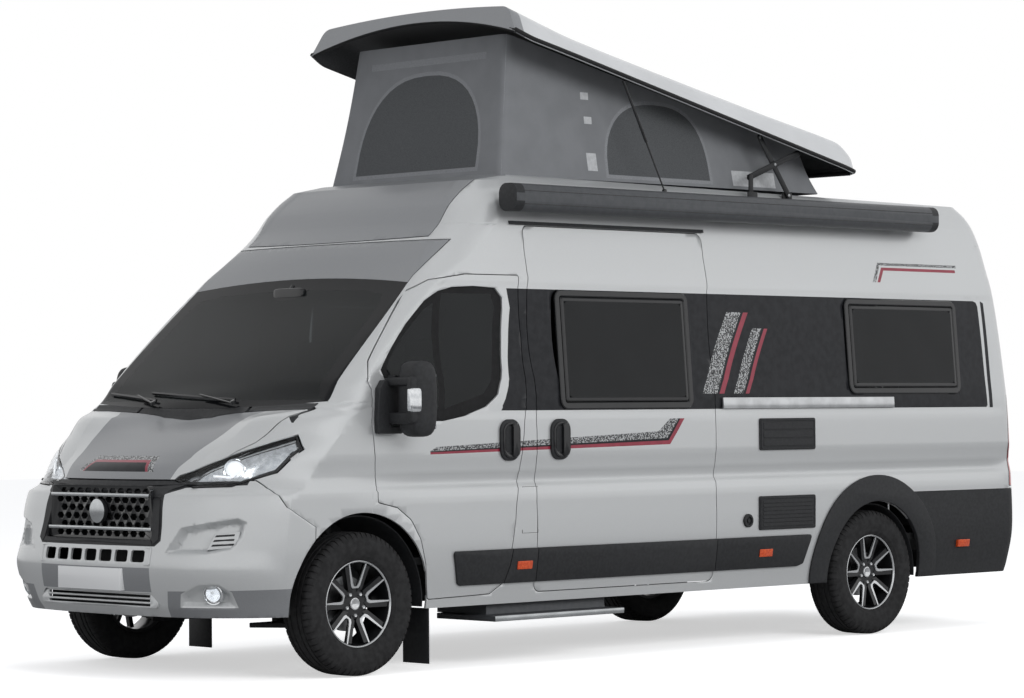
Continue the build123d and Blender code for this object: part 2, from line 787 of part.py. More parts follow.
def rear_axle():
    hub_y = rear_track_half - hub_inset - fit_gap
    beam = Pos(rear_axle_x, 0, axle_z) * Rot(90, 0, 0) * Cylinder(34, 2 * hub_y)
    spring_y = sum(rail_y) / 2
    sag = rail_z[0] - (axle_z + 34)
    half = 640
    radius = (half * half + sag * sag) / (2 * sag)
    band = Cylinder(radius + 9, 60) - Cylinder(radius - 9, 60)
    band = Pos(rear_axle_x, spring_y, axle_z + 34 + radius) * Rot(90, 0, 0) * band
    keep = box_between((rear_axle_x - half, 0, 300), (rear_axle_x + half, 800, rail_z[0]))
    spring = band & keep
    block = box_between((rear_axle_x - 60, spring_y - 34, axle_z), (rear_axle_x + 60, spring_y + 34, axle_z + 44))
    return beam + spring + across(spring) + block + across(block)


def engine():
    return box_between((front_axle_x + 130, -400, 400), (front_axle_x + 560, 360, 960))


def fuel_tank():
    low = (front_axle_x - 2030, -rail_y[0] + 12, 300)
    tank = box_between(low, (front_axle_x - 900, rail_y[0] - 150, rail_z[0] + 20))
    return fillet(tank.edges().filter_by(Axis.X), 40)


# Rings of the tyre from its inner to its outer side: distance from the wheel's middle plane, and radius.
TYRE_RINGS = [
    (-80, 226), (-110, 285), (-106, 335), (-84, tyre_radius), (84, tyre_radius), (106, 335), (110, 285), (80, 226),
]
facets = 48
rim_radius = 220
rim_half = 83
spoke_count = 5
spoke_spread = 15
hub_radius = 72
cap_radius = 30
disc_radius = 140


def round_block(radius, y_from, y_to, sides=facets):
    """A short prism round the wheel's own axis."""
    plane = Plane(origin=(0, y_from, 0), z_dir=(0, 1, 0))
    return extrude(plane * RegularPolygon(radius, sides), amount=y_to - y_from)


def tyre():
    rings = []
    for y, radius in TYRE_RINGS:
        plane = Plane(origin=(0, y, 0), z_dir=(0, 1, 0))
        rings.append((plane * RegularPolygon(radius, facets)).wire())
    return Solid.make_loft(rings, ruled=True) - round_block(rim_radius, -200, 200)


def rim():
    """A wheel with pairs of flat spokes, its brake disc and the face that the hub bears on."""
    wheel = round_block(rim_radius, -rim_half, rim_half) - round_block(rim_radius - 22, -200, 200)
    wheel = wheel + round_block(58, -hub_inset, 20, 24) + round_block(hub_radius, 20, 56, 24)
    wheel = wheel + round_block(cap_radius, 56, 66, 16) + round_block(disc_radius, -hub_inset, -hub_inset + 14)
    leg = make_face(Polyline((40, -12), (202, -10), (202, 10), (40, 12), close=True))
    leg = extrude(Pos(0, 58, 0) * (Plane.XZ * leg), amount=22)
    for i in range(spoke_count):
        turn = 90 + i * 360 / spoke_count
        for side in (-1, 1):
            wheel = wheel + Rot(0, turn + side * spoke_spread, 0) * leg
    return wheel


# Cab
seat_y = 450
seat_x = front_axle_x - 640
steering_y = -430


def dashboard():
    outline = [
        (-60, floor_z + 60), (40, floor_z + 60), (59.7, 1240), (59.7, 1285), (-60, 1310), (-230, 1270),
        (-300, 1150), (-280, 1010), (-130, 960),
    ]
    face = fillet(make_face(Polyline(*from_axle(outline), close=True)).vertices(), 12)
    return side_block(face, -900, 900) - front_tunnel(6)


def steering_wheel():
    tilt = Plane(origin=(front_axle_x - 420, steering_y, 1120), z_dir=(-0.82, 0, 0.57))
    ring = extrude(tilt * (Circle(198) - Circle(172)), amount=24)
    hub = extrude(tilt * Circle(60), amount=-30)
    bars = extrude(tilt * Rectangle(24, 350), amount=-14)
    column = extrude(tilt * Circle(30), amount=-200)
    return ring + hub + bars + column


def cab_seat():
    base = box_between((seat_x - 210, seat_y - 190, cab_floor_z), (seat_x + 210, seat_y + 190, 800))
    cushion = Pos(seat_x + 10, 870) * Rectangle(520, 140)
    back = Pos(seat_x - 262, 1215) * Rot(0, 0, 8) * Rectangle(140, 640)
    head = Pos(seat_x - 322, 1640) * Rectangle(100, 170)
    seat = base
    for face, radius, half in ((cushion, 45, 250), (back, 45, 240), (head, 35, 130)):
        seat = seat + side_block(fillet(face.vertices(), radius), seat_y - half, seat_y + half)
    return seat + box_between((seat_x - 340, seat_y - 60, 1500), (seat_x - 305, seat_y + 60, 1600))


# Mirror and its foot on the door
def mirror_unit():
    foot_face = [(-262, 1268), (-240, 1222), (-76, 1222), (-72, 1300), (-88, 1452), (-126, 1500), (-262, 1372)]
    foot = side_block(fillet(make_face(Polyline(*from_axle(foot_face), close=True)).vertices(), 10), 900, 1062)
    head_face = fillet((Pos(front_axle_x - 240, 1398) * Rectangle(180, 387)).vertices(), 45)
    head = side_block(head_face, 1092, 1252)
    arms = []
    for z in (1276, 1496):
        arms.append(box_between((front_axle_x - 215, 1030, z - 22), (front_axle_x - 165, 1140, z + 22)))
    brace = box_between((front_axle_x - 215, 1040, 1290), (front_axle_x - 165, 1062, 1500))
    return foot + head + arms[0] + arms[1] + brace - outer_form


# Pop-top: the lid is carried at the back by two crossed arms on each side and by a gas strut further forward.
# Points are x and z. The lid's own frame starts at the arm's upper pin, with the lid lying flat.
arm_foot = (-1275, 2575)
arm_length = 414
arm_angle = 52.9
arm_swing = 51
lid_angle = 12.6
cross_share = 0.47
cross_up = 220
cross_down = 239
cross_angle = -20.5
link_foot = (-919, 2565)
strut_lid = (1187, -10)
strut_foot = (-189, 2557)
barrel_length = 377
barrel_radius = 8
strut_rod_radius = 4.5
bar_width = 34
bar_thickness = 8
boss_radius = 11
arm_y = 818
cross_y = 830
link_y = 842
track_y = 840
strut_y = 850
lid_half = 884
track_x = (-450, -295)
lid_wall = 12


def polar(start, reach, angle):
    return (start[0] + reach * math.cos(math.radians(angle)), start[1] + reach * math.sin(math.radians(angle)))


arm_top = polar(arm_foot, arm_length, arm_angle)
cross_pin = polar(arm_top, -cross_share * arm_length, arm_angle)
cross_top = polar(cross_pin, -cross_up, cross_angle)
cross_foot = polar(cross_pin, cross_down, cross_angle)
lid_place = Pos(arm_top[0], 0, arm_top[1]) * Rot(0, -lid_angle, 0)


def flat_bar(start, end, y):
    """A flat bar with round ends between two pins."""
    run = math.dist(start, end)
    angle = math.degrees(math.atan2(end[1] - start[1], end[0] - start[0]))
    face = Pos(*start) * Rot(0, 0, angle) * Pos(run / 2, 0) * SlotCenterToCenter(run, bar_width)
    return side_block(face, y, y + bar_thickness)


def boss(point, y_from, y_to, radius=boss_radius):
    return side_block(Pos(*point) * Circle(radius), y_from, y_to)


def main_arms():
    arm = flat_bar(arm_foot, arm_top, arm_y)
    return both_sides(arm)


def cross_arms():
    bar = flat_bar(cross_top, cross_foot, cross_y)
    bar = bar + boss(cross_pin, arm_y + bar_thickness + fit_gap, cross_y)
    bar = bar + boss(cross_top, cross_y + bar_thickness, track_y - fit_gap, 8)
    return both_sides(bar)


def knee_links():
    link = flat_bar(link_foot, cross_foot, link_y)
    link = link + boss(cross_foot, cross_y + bar_thickness + fit_gap, link_y)
    return both_sides(link)


def hinge_brackets():
    """Plates on the roof that hold the feet of the arms and links, and the ball studs of the struts."""
    x, z = arm_foot
    inner_y = arm_y - 4 - bar_thickness
    plate = box_between((x - 40, inner_y, z - 60), (x + 40, inner_y + bar_thickness, z + 16))
    plate = plate + boss(arm_foot, inner_y + bar_thickness, arm_y - fit_gap)
    x, z = link_foot
    outer_y = link_y + bar_thickness + 4
    second = box_between((x - 40, outer_y, z - 100), (x + 40, outer_y + bar_thickness, z + 16))
    second = second + boss(link_foot, link_y + bar_thickness + fit_gap, outer_y)
    x, z = strut_foot
    post = Pos(x, strut_y, z - boss_radius - fit_gap - 40) * Cylinder(7, 80)
    solids = [piece - outer_form for piece in (plate, second, post)]
    return Compound(children=[item for piece in solids for item in (piece, across(piece))])


def in_lid(point):
    """A point of the lid's own frame, turned and moved to where the raised lid has it."""
    angle = math.radians(lid_angle)
    x = arm_top[0] + point[0] * math.cos(angle) - point[1] * math.sin(angle)
    z = arm_top[1] + point[0] * math.sin(angle) + point[1] * math.cos(angle)
    return (x, z)


strut_top = in_lid(strut_lid)
strut_run = math.dist(strut_foot, strut_top)
strut_angle = math.degrees(math.atan2(strut_top[1] - strut_foot[1], strut_top[0] - strut_foot[0]))


def strut_barrels():
    far = polar(strut_top, -barrel_length, strut_angle)
    barrel = rod_between((far[0], strut_y, far[1]), (strut_top[0], strut_y, strut_top[1]), barrel_radius)
    bore_top = polar(strut_top, -20, strut_angle)
    bore = rod_between((far[0], strut_y, far[1]), (bore_top[0], strut_y, bore_top[1]), strut_rod_radius + 0.5)
    return both_sides(barrel - bore)


def strut_rods():
    end = polar(strut_foot, strut_run - barrel_length + 120, strut_angle)
    rod = rod_between((strut_foot[0], strut_y, strut_foot[1]), (end[0], strut_y, end[1]), strut_rod_radius)
    eye = side_block(Pos(*strut_foot) * Circle(boss_radius), strut_y - 8, strut_y + 8)
    return both_sides(rod + eye)


# Lid sections along its own x. Columns: x, half width at the lip, lip z at the side and on the centre line,
# half width at the top edge, top edge z, crown z.
LID_SECTIONS = [
    (-868, 790, 10, 11, 770, 50, 62),
    (-800, lid_half - 10, 0, 1, 815, 122, 142),
    (-673, lid_half, 0, 1, 812, 165, 190),
    (0, lid_half, 0, 1, 806, 148, 188),
    (1500, lid_half - 4, 0, 1, 790, 128, 190),
    (1900, lid_half - 14, 0, 60, 780, 150, 198),
    (2036, lid_half - 44, 22, 140, 752, 170, 202),
]


def lid_ring(section, inset):
    x, lip_half, lip_z, lip_centre, top_half, top_z, crown = section
    lip_half = lip_half - inset
    top_half = top_half - inset
    drop = 60 if inset else 0
    edges = [
        ThreePointArc((x, -lip_half, lip_z - drop), (x, 0, lip_centre - drop), (x, lip_half, lip_z - drop)),
        Line((x, lip_half, lip_z - drop), (x, top_half, top_z - inset)),
        ThreePointArc((x, top_half, top_z - inset), (x, 0, crown - inset), (x, -top_half, top_z - inset)),
        Line((x, -top_half, top_z - inset), (x, -lip_half, lip_z - drop)),
    ]
    return Wire(edges)


def pop_top_lid():
    outer = Solid.make_loft([lid_ring(section, 0) for section in LID_SECTIONS], ruled=True)
    inner_rows = []
    for section in LID_SECTIONS:
        x = min(max(section[0], LID_SECTIONS[0][0] + 3 * lid_wall), LID_SECTIONS[-1][0] - lid_wall)
        inner_rows.append((x, *section[1:]))
    inner = Solid.make_loft([lid_ring(section, lid_wall) for section in inner_rows], ruled=True)
    lid = outer - inner
    pin_y = arm_y - 4 - bar_thickness
    hanger = box_between((-30, pin_y, -14), (30, pin_y + bar_thickness, 150))
    hanger = hanger + boss((0, 0), pin_y + bar_thickness, arm_y - fit_gap)
    stud = boss(strut_lid, strut_y + barrel_radius + fit_gap, lid_half - 4)
    track = box_between((track_x[0], track_y, -18), (track_x[1], track_y + bar_thickness, 150))
    below_lip = box_between((-900, 0, -40), (1900, lid_half - lid_wall + 2, 60))
    for piece in (hanger, stud, track):
        piece = piece & (outer + below_lip)
        lid = lid + piece + across(piece)
    return lid_place * lid


# Tent between the roof and the lid
tent_half_top = 615
tent_top_front = (front_end - 2376, 3392)
tent_top_rear_x = front_end - 4740
tent_cloth = 10


def tent():
    def ring(inset, low_extra, high_extra):
        half_low = tent_half_bottom - inset
        half_high = tent_half_top - inset
        front = tent_front_x - inset
        rear = tent_front_x - tent_length + inset
        top_front_x = tent_top_front[0] - inset
        top_rear_x = tent_top_rear_x + inset
        slope = math.tan(math.radians(lid_angle))
        top_front_z = tent_top_front[1] + high_extra
        top_rear_z = top_front_z - slope * (top_front_x - top_rear_x)
        low_z = roof_top_z - low_extra
        low = [(front, half_low, low_z), (rear, half_low, low_z), (rear, -half_low, low_z), (front, -half_low, low_z)]
        lean = (half_low - half_high) / (top_front_z - low_z)
        half_rear = half_low - lean * (top_rear_z - low_z)
        high = [
            (top_front_x, half_high, top_front_z), (top_rear_x, half_rear, top_rear_z),
            (top_rear_x, -half_rear, top_rear_z), (top_front_x, -half_high, top_front_z),
        ]
        return [Wire(Polyline(*low, close=True).edges()), Wire(Polyline(*high, close=True).edges())]

    outer = Solid.make_loft(ring(0, 0, 0), ruled=True)
    inner = Solid.make_loft(ring(tent_cloth, 5, 5), ruled=True)
    return outer - inner


cab_door_left = cab_door()
sliding_panel = sliding_door()
rear_door_left = rear_door()
bonnet = (outer_form - body_form(bonnet_thickness, open_bottom=True)) & bonnet_panel
bonnet = bonnet - headlamp_cut - across(headlamp_cut) - screen_cut + both_bonnet_arms()
headlamp_left = (shell & headlamp_panel) + lugs(headlamp_cut, headlamp_panel, HEADLAMP_LUGS)
bumper = shell & bumper_block(-half_gap) - headlamp_cut - across(headlamp_cut) - front_arch - bonnet_cut
bumper = bumper + lugs(bumper_block(half_gap), bumper_block(-half_gap), BUMPER_LUGS)
bumper = bumper - front_openings()

body = shell - arches
body = body - screen_cut - bonnet_cut - headlamp_cut - across(headlamp_cut) - bumper_block(half_gap)
door_cut = side_block(opening_face(door_face), y_inside, y_outside)
body = body - door_cut - across(door_cut)
body = body - side_block(opening_face(slider_face), y_inside, y_outside)
for row in SIDE_WINDOWS:
    hole = side_block(window_face(row), y_inside, y_outside)
    body = body - across(hole)
body = body - side_block(window_face(SIDE_WINDOWS[1]), y_inside, y_outside)
rear_cut = front_block(rear_door_face(-half_gap), rear_end - 50, rear_block_x)
middle_cut = box_between((rear_end - 50, -20, rear_door_bottom_z), (rear_block_x, 20, rear_door_top_z))
body = body - rear_cut - across(rear_cut) - middle_cut - rear_bumper_cut()
body = body - tail_lamp(half_gap) - across(tail_lamp(half_gap))
body = body - roof_opening - fairing_block(half_gap) - header_block(half_gap)

parts = {}
split_x = front_axle_x - 62
above = box_between((rear_end - 100, -1500, roof_cut_z), (front_end + 100, 1500, 3000))
front_zone = box_between((split_x, -1500, 0), (front_end + 100, 1500, 1380))
roof_panel = body & above
front_wings = (body - above) & front_zone
sides = (body - above) - front_zone
left_half = box_between((rear_end - 100, 0, 0), (front_end + 100, 1500, 3000))
parts["body_side_left"] = sides & left_half
parts["body_side_right"] = sides - left_half
parts["roof_panel"] = roof_panel
parts["front_wings"] = front_wings
parts["bonnet"] = bonnet
parts["front_bumper"] = bumper
parts["headlamps"] = both_sides(headlamp_left)
parts["windscreen"] = skin & screen_cut
roof_fairing = shell & (fairing_block(-half_gap) + header_block(-half_gap))
parts["roof_fairing"] = roof_fairing + lugs(header_block(half_gap), header_block(-half_gap), HEADER_LUGS)
parts["cab_door_left"] = cab_door_left
parts["cab_door_right"] = across(cab_door_left)
parts["cab_glass_left"] = cab_glass()
parts["cab_glass_right"] = across(parts["cab_glass_left"])
parts["sliding_door"] = sliding_panel
parts["side_windows"] = side_windows()
parts["rear_door_left"] = rear_door_left
parts["rear_door_right"] = across(rear_door_left)
parts["rear_glass_left"] = rear_glass()
parts["rear_glass_right"] = across(parts["rear_glass_left"])
parts["rear_bumper"] = rear_bumper()

cowl_zone = box_between((front_axle_x + 150, -905, 1282), (front_end - 600, 905, 1402))
parts["cowl"] = (parts["front_wings"] & cowl_zone) - bonnet_arm_slots()
parts["front_wings"] = parts["front_wings"] - cowl_zone
parts["grille"] = grille()
parts["grille_bars"] = Compound(children=[*grille_bars(), intake_slats()])
parts["number_plate"] = number_plate()
parts["door_trim_left"] = door_trim()
parts["door_trim_right"] = across(parts["door_trim_left"])
parts["side_trim"] = Compound(children=side_trim(True) + [across(piece) for piece in side_trim(False)])
parts["arch_flares"] = both_sides(flare())
parts["fridge_vents"] = fridge_vents()
parts["signal_lamps"] = signal_lamps()
parts["awning_case"] = awning()
parts["entrance_step"] = entrance_step()
parts["underbody_plastics"] = underbody_plastics()
parts["floor_pan"] = floor_pan()
parts["front_subframe"] = front_subframe()
parts["knuckle_left"] = knuckle()
parts["knuckle_right"] = across(parts["knuckle_left"])
parts["rear_axle"] = rear_axle()
parts["engine"] = engine()
parts["dashboard"] = dashboard() + steering_wheel()
parts["cab_seats"] = both_sides(cab_seat())
parts["mirror_left"] = mirror_unit()
parts["mirror_right"] = across(parts["mirror_left"])
parts["tent"] = tent()
parts["pop_top_lid"] = pop_top_lid()
parts["main_arms"] = main_arms()
parts["cross_arms"] = cross_arms()
parts["knee_links"] = knee_links()
parts["hinge_brackets"] = hinge_brackets()
parts["strut_barrels"] = strut_barrels()
parts["strut_rods"] = strut_rods()
one_tyre = tyre()
one_rim = rim()
WHEELS = [
    ("front", front_axle_x, front_track_half),
    ("rear", rear_axle_x, rear_track_half),
]
for place, x, y in WHEELS:
    for piece_name, piece in (("tyre", one_tyre), ("rim", one_rim)):
        placed = Pos(x, y, axle_z) * piece
        parts[f"{piece_name}_{place}_left"] = placed
        parts[f"{piece_name}_{place}_right"] = across(placed)

os.makedirs("parts", exist_ok=True)
for name, shape in parts.items():
    export_step(shape, f"parts/{name}.step")
    print(name, len(shape.solids()), round(shape.volume / 1e6, 2))
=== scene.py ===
import bmesh
import bpy
import json
import math
import random
import numpy as np
from functools import partial
from mathutils import Matrix, Vector


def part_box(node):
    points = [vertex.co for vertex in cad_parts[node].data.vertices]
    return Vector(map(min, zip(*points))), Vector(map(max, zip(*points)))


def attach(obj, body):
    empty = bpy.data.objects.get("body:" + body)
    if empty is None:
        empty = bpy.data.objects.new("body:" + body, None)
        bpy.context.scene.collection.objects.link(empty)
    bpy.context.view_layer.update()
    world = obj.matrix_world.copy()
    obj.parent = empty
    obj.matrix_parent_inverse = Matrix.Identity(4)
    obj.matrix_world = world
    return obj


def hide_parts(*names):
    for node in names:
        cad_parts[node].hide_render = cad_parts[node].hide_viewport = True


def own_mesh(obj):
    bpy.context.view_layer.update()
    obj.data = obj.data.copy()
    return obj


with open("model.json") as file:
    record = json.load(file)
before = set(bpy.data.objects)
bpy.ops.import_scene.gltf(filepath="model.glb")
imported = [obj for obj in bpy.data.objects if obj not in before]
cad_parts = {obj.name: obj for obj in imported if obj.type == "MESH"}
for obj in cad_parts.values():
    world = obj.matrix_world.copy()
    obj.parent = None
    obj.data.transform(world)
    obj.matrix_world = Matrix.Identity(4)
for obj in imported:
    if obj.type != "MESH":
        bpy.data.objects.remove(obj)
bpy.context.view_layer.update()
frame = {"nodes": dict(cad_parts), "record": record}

# Studio: a white floor and a white world with soft lamps, and the camera at the photograph's place.
# The floor and the world look white to the camera and in reflections, and light the van evenly.
scene = bpy.context.scene
scene.view_settings.view_transform = "Standard"


def srgb(code):
    """A colour written as on a paint card, in the linear values that the renderer takes."""
    values = [int(code[i:i + 2], 16) / 255 for i in (1, 3, 5)]
    return tuple(v / 12.92 if v <= 0.04045 else ((v + 0.055) / 1.055) ** 2.4 for v in values) + (1.0,)


def add(tree, kind, inputs=None, **settings):
    """Adds one node. Each input gets a value, or a link when it is given another node's socket."""
    made = tree.nodes.new(kind)
    for name, value in settings.items():
        setattr(made, name, value)
    for name, value in (inputs or {}).items():
        if isinstance(value, bpy.types.NodeSocket):
            tree.links.new(value, made.inputs[name])
        else:
            made.inputs[name].default_value = value
    return made


def seen_or_reflected(tree):
    """1 for rays from the camera and for those in reflections and through glass, and 0 for light."""
    path = add(tree, "ShaderNodeLightPath")
    both = add(tree, "ShaderNodeMath", {0: path.outputs["Is Camera Ray"], 1: path.outputs["Is Glossy Ray"]},
               operation="MAXIMUM")
    return add(tree, "ShaderNodeMath", {0: both.outputs[0], 1: path.outputs["Is Transmission Ray"]},
               operation="MAXIMUM").outputs[0]


world = bpy.data.worlds.new("white_studio")
scene.world = world
world.use_nodes = True
sky = world.node_tree
sky.nodes.clear()
direction = add(sky, "ShaderNodeTexCoord").outputs["Generated"]
height = add(sky, "ShaderNodeSeparateXYZ", {0: direction}).outputs["Z"]
fade = add(sky, "ShaderNodeMapRange",
           {"Value": height, "From Min": 0.2, "From Max": 0.9, "To Min": 1.0, "To Max": 0.55})
lit = add(sky, "ShaderNodeBackground", {"Color": srgb("#F4F6FA"), "Strength": 0.46})
shown = add(sky, "ShaderNodeBackground", {"Color": (1, 1, 1, 1), "Strength": fade.outputs[0]})
path_mix = add(sky, "ShaderNodeMixShader", {0: seen_or_reflected(sky), 1: lit.outputs[0],
                                            2: shown.outputs[0]})
add(sky, "ShaderNodeOutputWorld", {0: path_mix.outputs[0]})

floor_mesh = bpy.data.meshes.new("studio_floor")
floor_corners = [(x * 40, y * 40, -0.002) for x, y in ((-1, -1), (1, -1), (1, 1), (-1, 1))]
floor_mesh.from_pydata(floor_corners, [], [(0, 1, 2, 3)])
floor = bpy.data.objects.new("studio_floor", floor_mesh)
scene.collection.objects.link(floor)
floor_paint = bpy.data.materials.new("floor_white_paint")
floor_paint.use_nodes = True
floor_tree = floor_paint.node_tree
floor_tree.nodes.clear()
glow = add(floor_tree, "ShaderNodeEmission", {"Color": (1, 1, 1, 1), "Strength": 0.56})
path = add(floor_tree, "ShaderNodeLightPath")
seen = add(floor_tree, "ShaderNodeMath", {0: path.outputs["Is Camera Ray"],
                                          1: path.outputs["Is Transmission Ray"]},
           operation="MAXIMUM")
shade = add(floor_tree, "ShaderNodeMapRange", {"Value": seen.outputs[0], "To Min": 0.42, "To Max": 0.93})
matt = add(floor_tree, "ShaderNodeBsdfDiffuse", {"Color": shade.outputs[0]})
dark = add(floor_tree, "ShaderNodeEmission", {"Color": (0, 0, 0, 1), "Strength": 0.0})
glow_seen = add(floor_tree, "ShaderNodeMixShader", {0: seen.outputs[0], 1: dark.outputs[0],
                                                    2: glow.outputs[0]})
floor_sum = add(floor_tree, "ShaderNodeAddShader", {0: matt.outputs[0], 1: glow_seen.outputs[0]})
add(floor_tree, "ShaderNodeOutputMaterial", {0: floor_sum.outputs[0]})
floor_mesh.materials.append(floor_paint)

# Columns: place, what it points at, width, length, watts.
LAMPS = [
    ((1.5, 12.0, 6.0), (0.0, 0.9, 1.4), 9.0, 4.0, 720),
    ((-8.0, 9.0, 5.0), (-1.5, 1.0, 1.5), 5.0, 4.0, 150),
    ((11.0, 2.0, 6.0), (2.0, 0.0, 1.2), 5.0, 4.0, 170),
    ((0.0, 0.0, 10.5), (0.0, 0.0, 2.0), 8.0, 4.0, 260),
]
for i, (place, target, width, long, watts) in enumerate(LAMPS):
    lamp = bpy.data.lights.new(f"softbox_{i}", "AREA")
    lamp.shape = "RECTANGLE"
    lamp.size = width
    lamp.size_y = long
    lamp.energy = watts
    lamp_object = bpy.data.objects.new(f"softbox_{i}", lamp)
    lamp_object.location = place
    lamp_object.rotation_euler = (Vector(target) - Vector(place)).to_track_quat("-Z", "Y").to_euler()
    lamp_object.visible_glossy = False
    scene.collection.objects.link(lamp_object)

camera_place = Vector((13.2456, 13.4732, 1.3507))
yaw, pitch, roll = math.radians(225.891), math.radians(1.018), math.radians(-0.414)
ahead = Vector((math.cos(yaw) * math.cos(pitch), math.sin(yaw) * math.cos(pitch), math.sin(pitch)))
level = Vector((math.sin(yaw), -math.cos(yaw), 0))
upright = level.cross(ahead)
right = level * math.cos(roll) + upright * math.sin(roll)
up = upright * math.cos(roll) - level * math.sin(roll)
camera_data = bpy.data.cameras.new("photo_camera")
camera_data.sensor_width = 36
camera_data.lens = 115.7
camera_data.clip_end = 200
camera = bpy.data.objects.new("photo_camera", camera_data)
camera_turn = Matrix((right, up, -ahead)).transposed().to_4x4()
camera.matrix_world = Matrix.Translation(camera_place) @ camera_turn
scene.collection.objects.link(camera)
scene.camera = camera

# Body finish: metallic silver paint over pressed steel, under a clear coat.
# It shows soft wide highlights, with fine aluminium flake that only just sparkles.
record = frame["record"]
body_of = {name: body for body, names in record["behaviour"]["bodies"].items() for name in names}


def surface(name, colour, rough, metallic=0.0, coat=0.0, coat_rough=0.04, ior=1.45):
    """A new material on the standard shader. Its even values sit on the shader's own sockets."""
    made = bpy.data.materials.new(name)
    made.use_nodes = True
    tree = made.node_tree
    shader = tree.nodes["Principled BSDF"]
    shader.inputs["Base Color"].default_value = srgb(colour)
    shader.inputs["Roughness"].default_value = rough
    shader.inputs["Metallic"].default_value = metallic
    shader.inputs["Coat Weight"].default_value = coat
    shader.inputs["Coat Roughness"].default_value = coat_rough
    if not metallic:
        shader.inputs["IOR"].default_value = ior
    return made, tree, shader


def two_shades(tree, shader, value, low, high, dark_code, light_code):
    """Colour that goes from one shade to the other while a value rises between two limits."""
    share = add(tree, "ShaderNodeMapRange", {"Value": value, "From Min": low, "From Max": high})
    mix = add(tree, "ShaderNodeMix", {0: share.outputs[0], 6: srgb(dark_code), 7: srgb(light_code)},
              data_type="RGBA")
    tree.links.new(mix.outputs[2], shader.inputs["Base Color"])


def mottle(tree, shader, dark_code, light_code, size_mm, detail=3.0, low=0.35, high=0.65):
    """Colour that wanders between two shades in patches of about the given size."""
    place = add(tree, "ShaderNodeTexCoord").outputs["Object"]
    patches = add(tree, "ShaderNodeTexNoise", {"Vector": place, "Scale": 1000 / size_mm, "Detail": detail})
    two_shades(tree, shader, patches.outputs[0], low, high, dark_code, light_code)
    return place


def grain(tree, shader, size_mm, height_mm, detail=2.0, strength=0.5):
    """A moulded or sprayed grain as bump, from the object's own coordinates."""
    place = add(tree, "ShaderNodeTexCoord").outputs["Object"]
    rough = add(tree, "ShaderNodeTexNoise", {"Vector": place, "Scale": 1000 / size_mm, "Detail": detail})
    bump = add(tree, "ShaderNodeBump", {"Height": rough.outputs[0], "Distance": height_mm / 1000,
                                        "Strength": strength})
    tree.links.new(bump.outputs[0], shader.inputs["Normal"])


def finish(name, colour, rough, patches, grained=(), sheen=0.0, clear=0.0, **settings):
    """A whole finish. Patches and grained hold what mottle and grain take, and clear lets light through."""
    made, tree, shader = surface(name, colour, rough, **settings)
    shader.inputs["Sheen Weight"].default_value = sheen
    shader.inputs["Transmission Weight"].default_value = clear
    mottle(tree, shader, *patches)
    if grained:
        grain(tree, shader, *grained)
    return made


silver_paint = finish("silver_metallic_paint", "#C6C8C9", 0.34, ("#C1C3C4", "#CBCDCE", 1.6, 0.0, 0.2, 0.8),
                      grained=(1.8, 0.02, 2.0, 0.25), metallic=0.45, coat=0.35)

# Painted shade: a darker grey for silver panels that face forward, standing in for the shade on them.
front_shade_grey = finish("grey_painted_front_shade", "#8B8D90", 0.42, ("#85878A", "#919396", 2.0, 0.0, 0.2, 0.8),
                    grained=(2.0, 0.02, 2.0, 0.3), metallic=0.45, coat=0.25, coat_rough=0.2)

band_film = finish("black_window_film", "#222326", 0.30, ("#1E1F22", "#27282B", 40.0), ior=1.28)

# Printed film: a grey and black speckle, here drawn with specks of about 7 mm so that they show.
speckle_film, tree, shader = surface("speckled_film", "#8A8C8E", 0.35, coat=0.3)
place = add(tree, "ShaderNodeTexCoord").outputs["Object"]
specks = add(tree, "ShaderNodeTexNoise", {"Vector": place, "Scale": 120.0, "Detail": 1.0})
two_shades(tree, shader, specks.outputs[0], 0.50, 0.54, "#303133", "#A6A8A9")

red_film = finish("red_film", "#86283A", 0.32, ("#802637", "#8E2C3F", 60.0), coat=0.3)

# Lining: grey needle felt and moulded board on the inside of doors and walls, matt and slightly fibrous.
lining = finish("grey_felt_lining", "#3A3B3D", 0.95, ("#323335", "#444547", 6.0),
                grained=(3.0, 0.4), sheen=0.25)

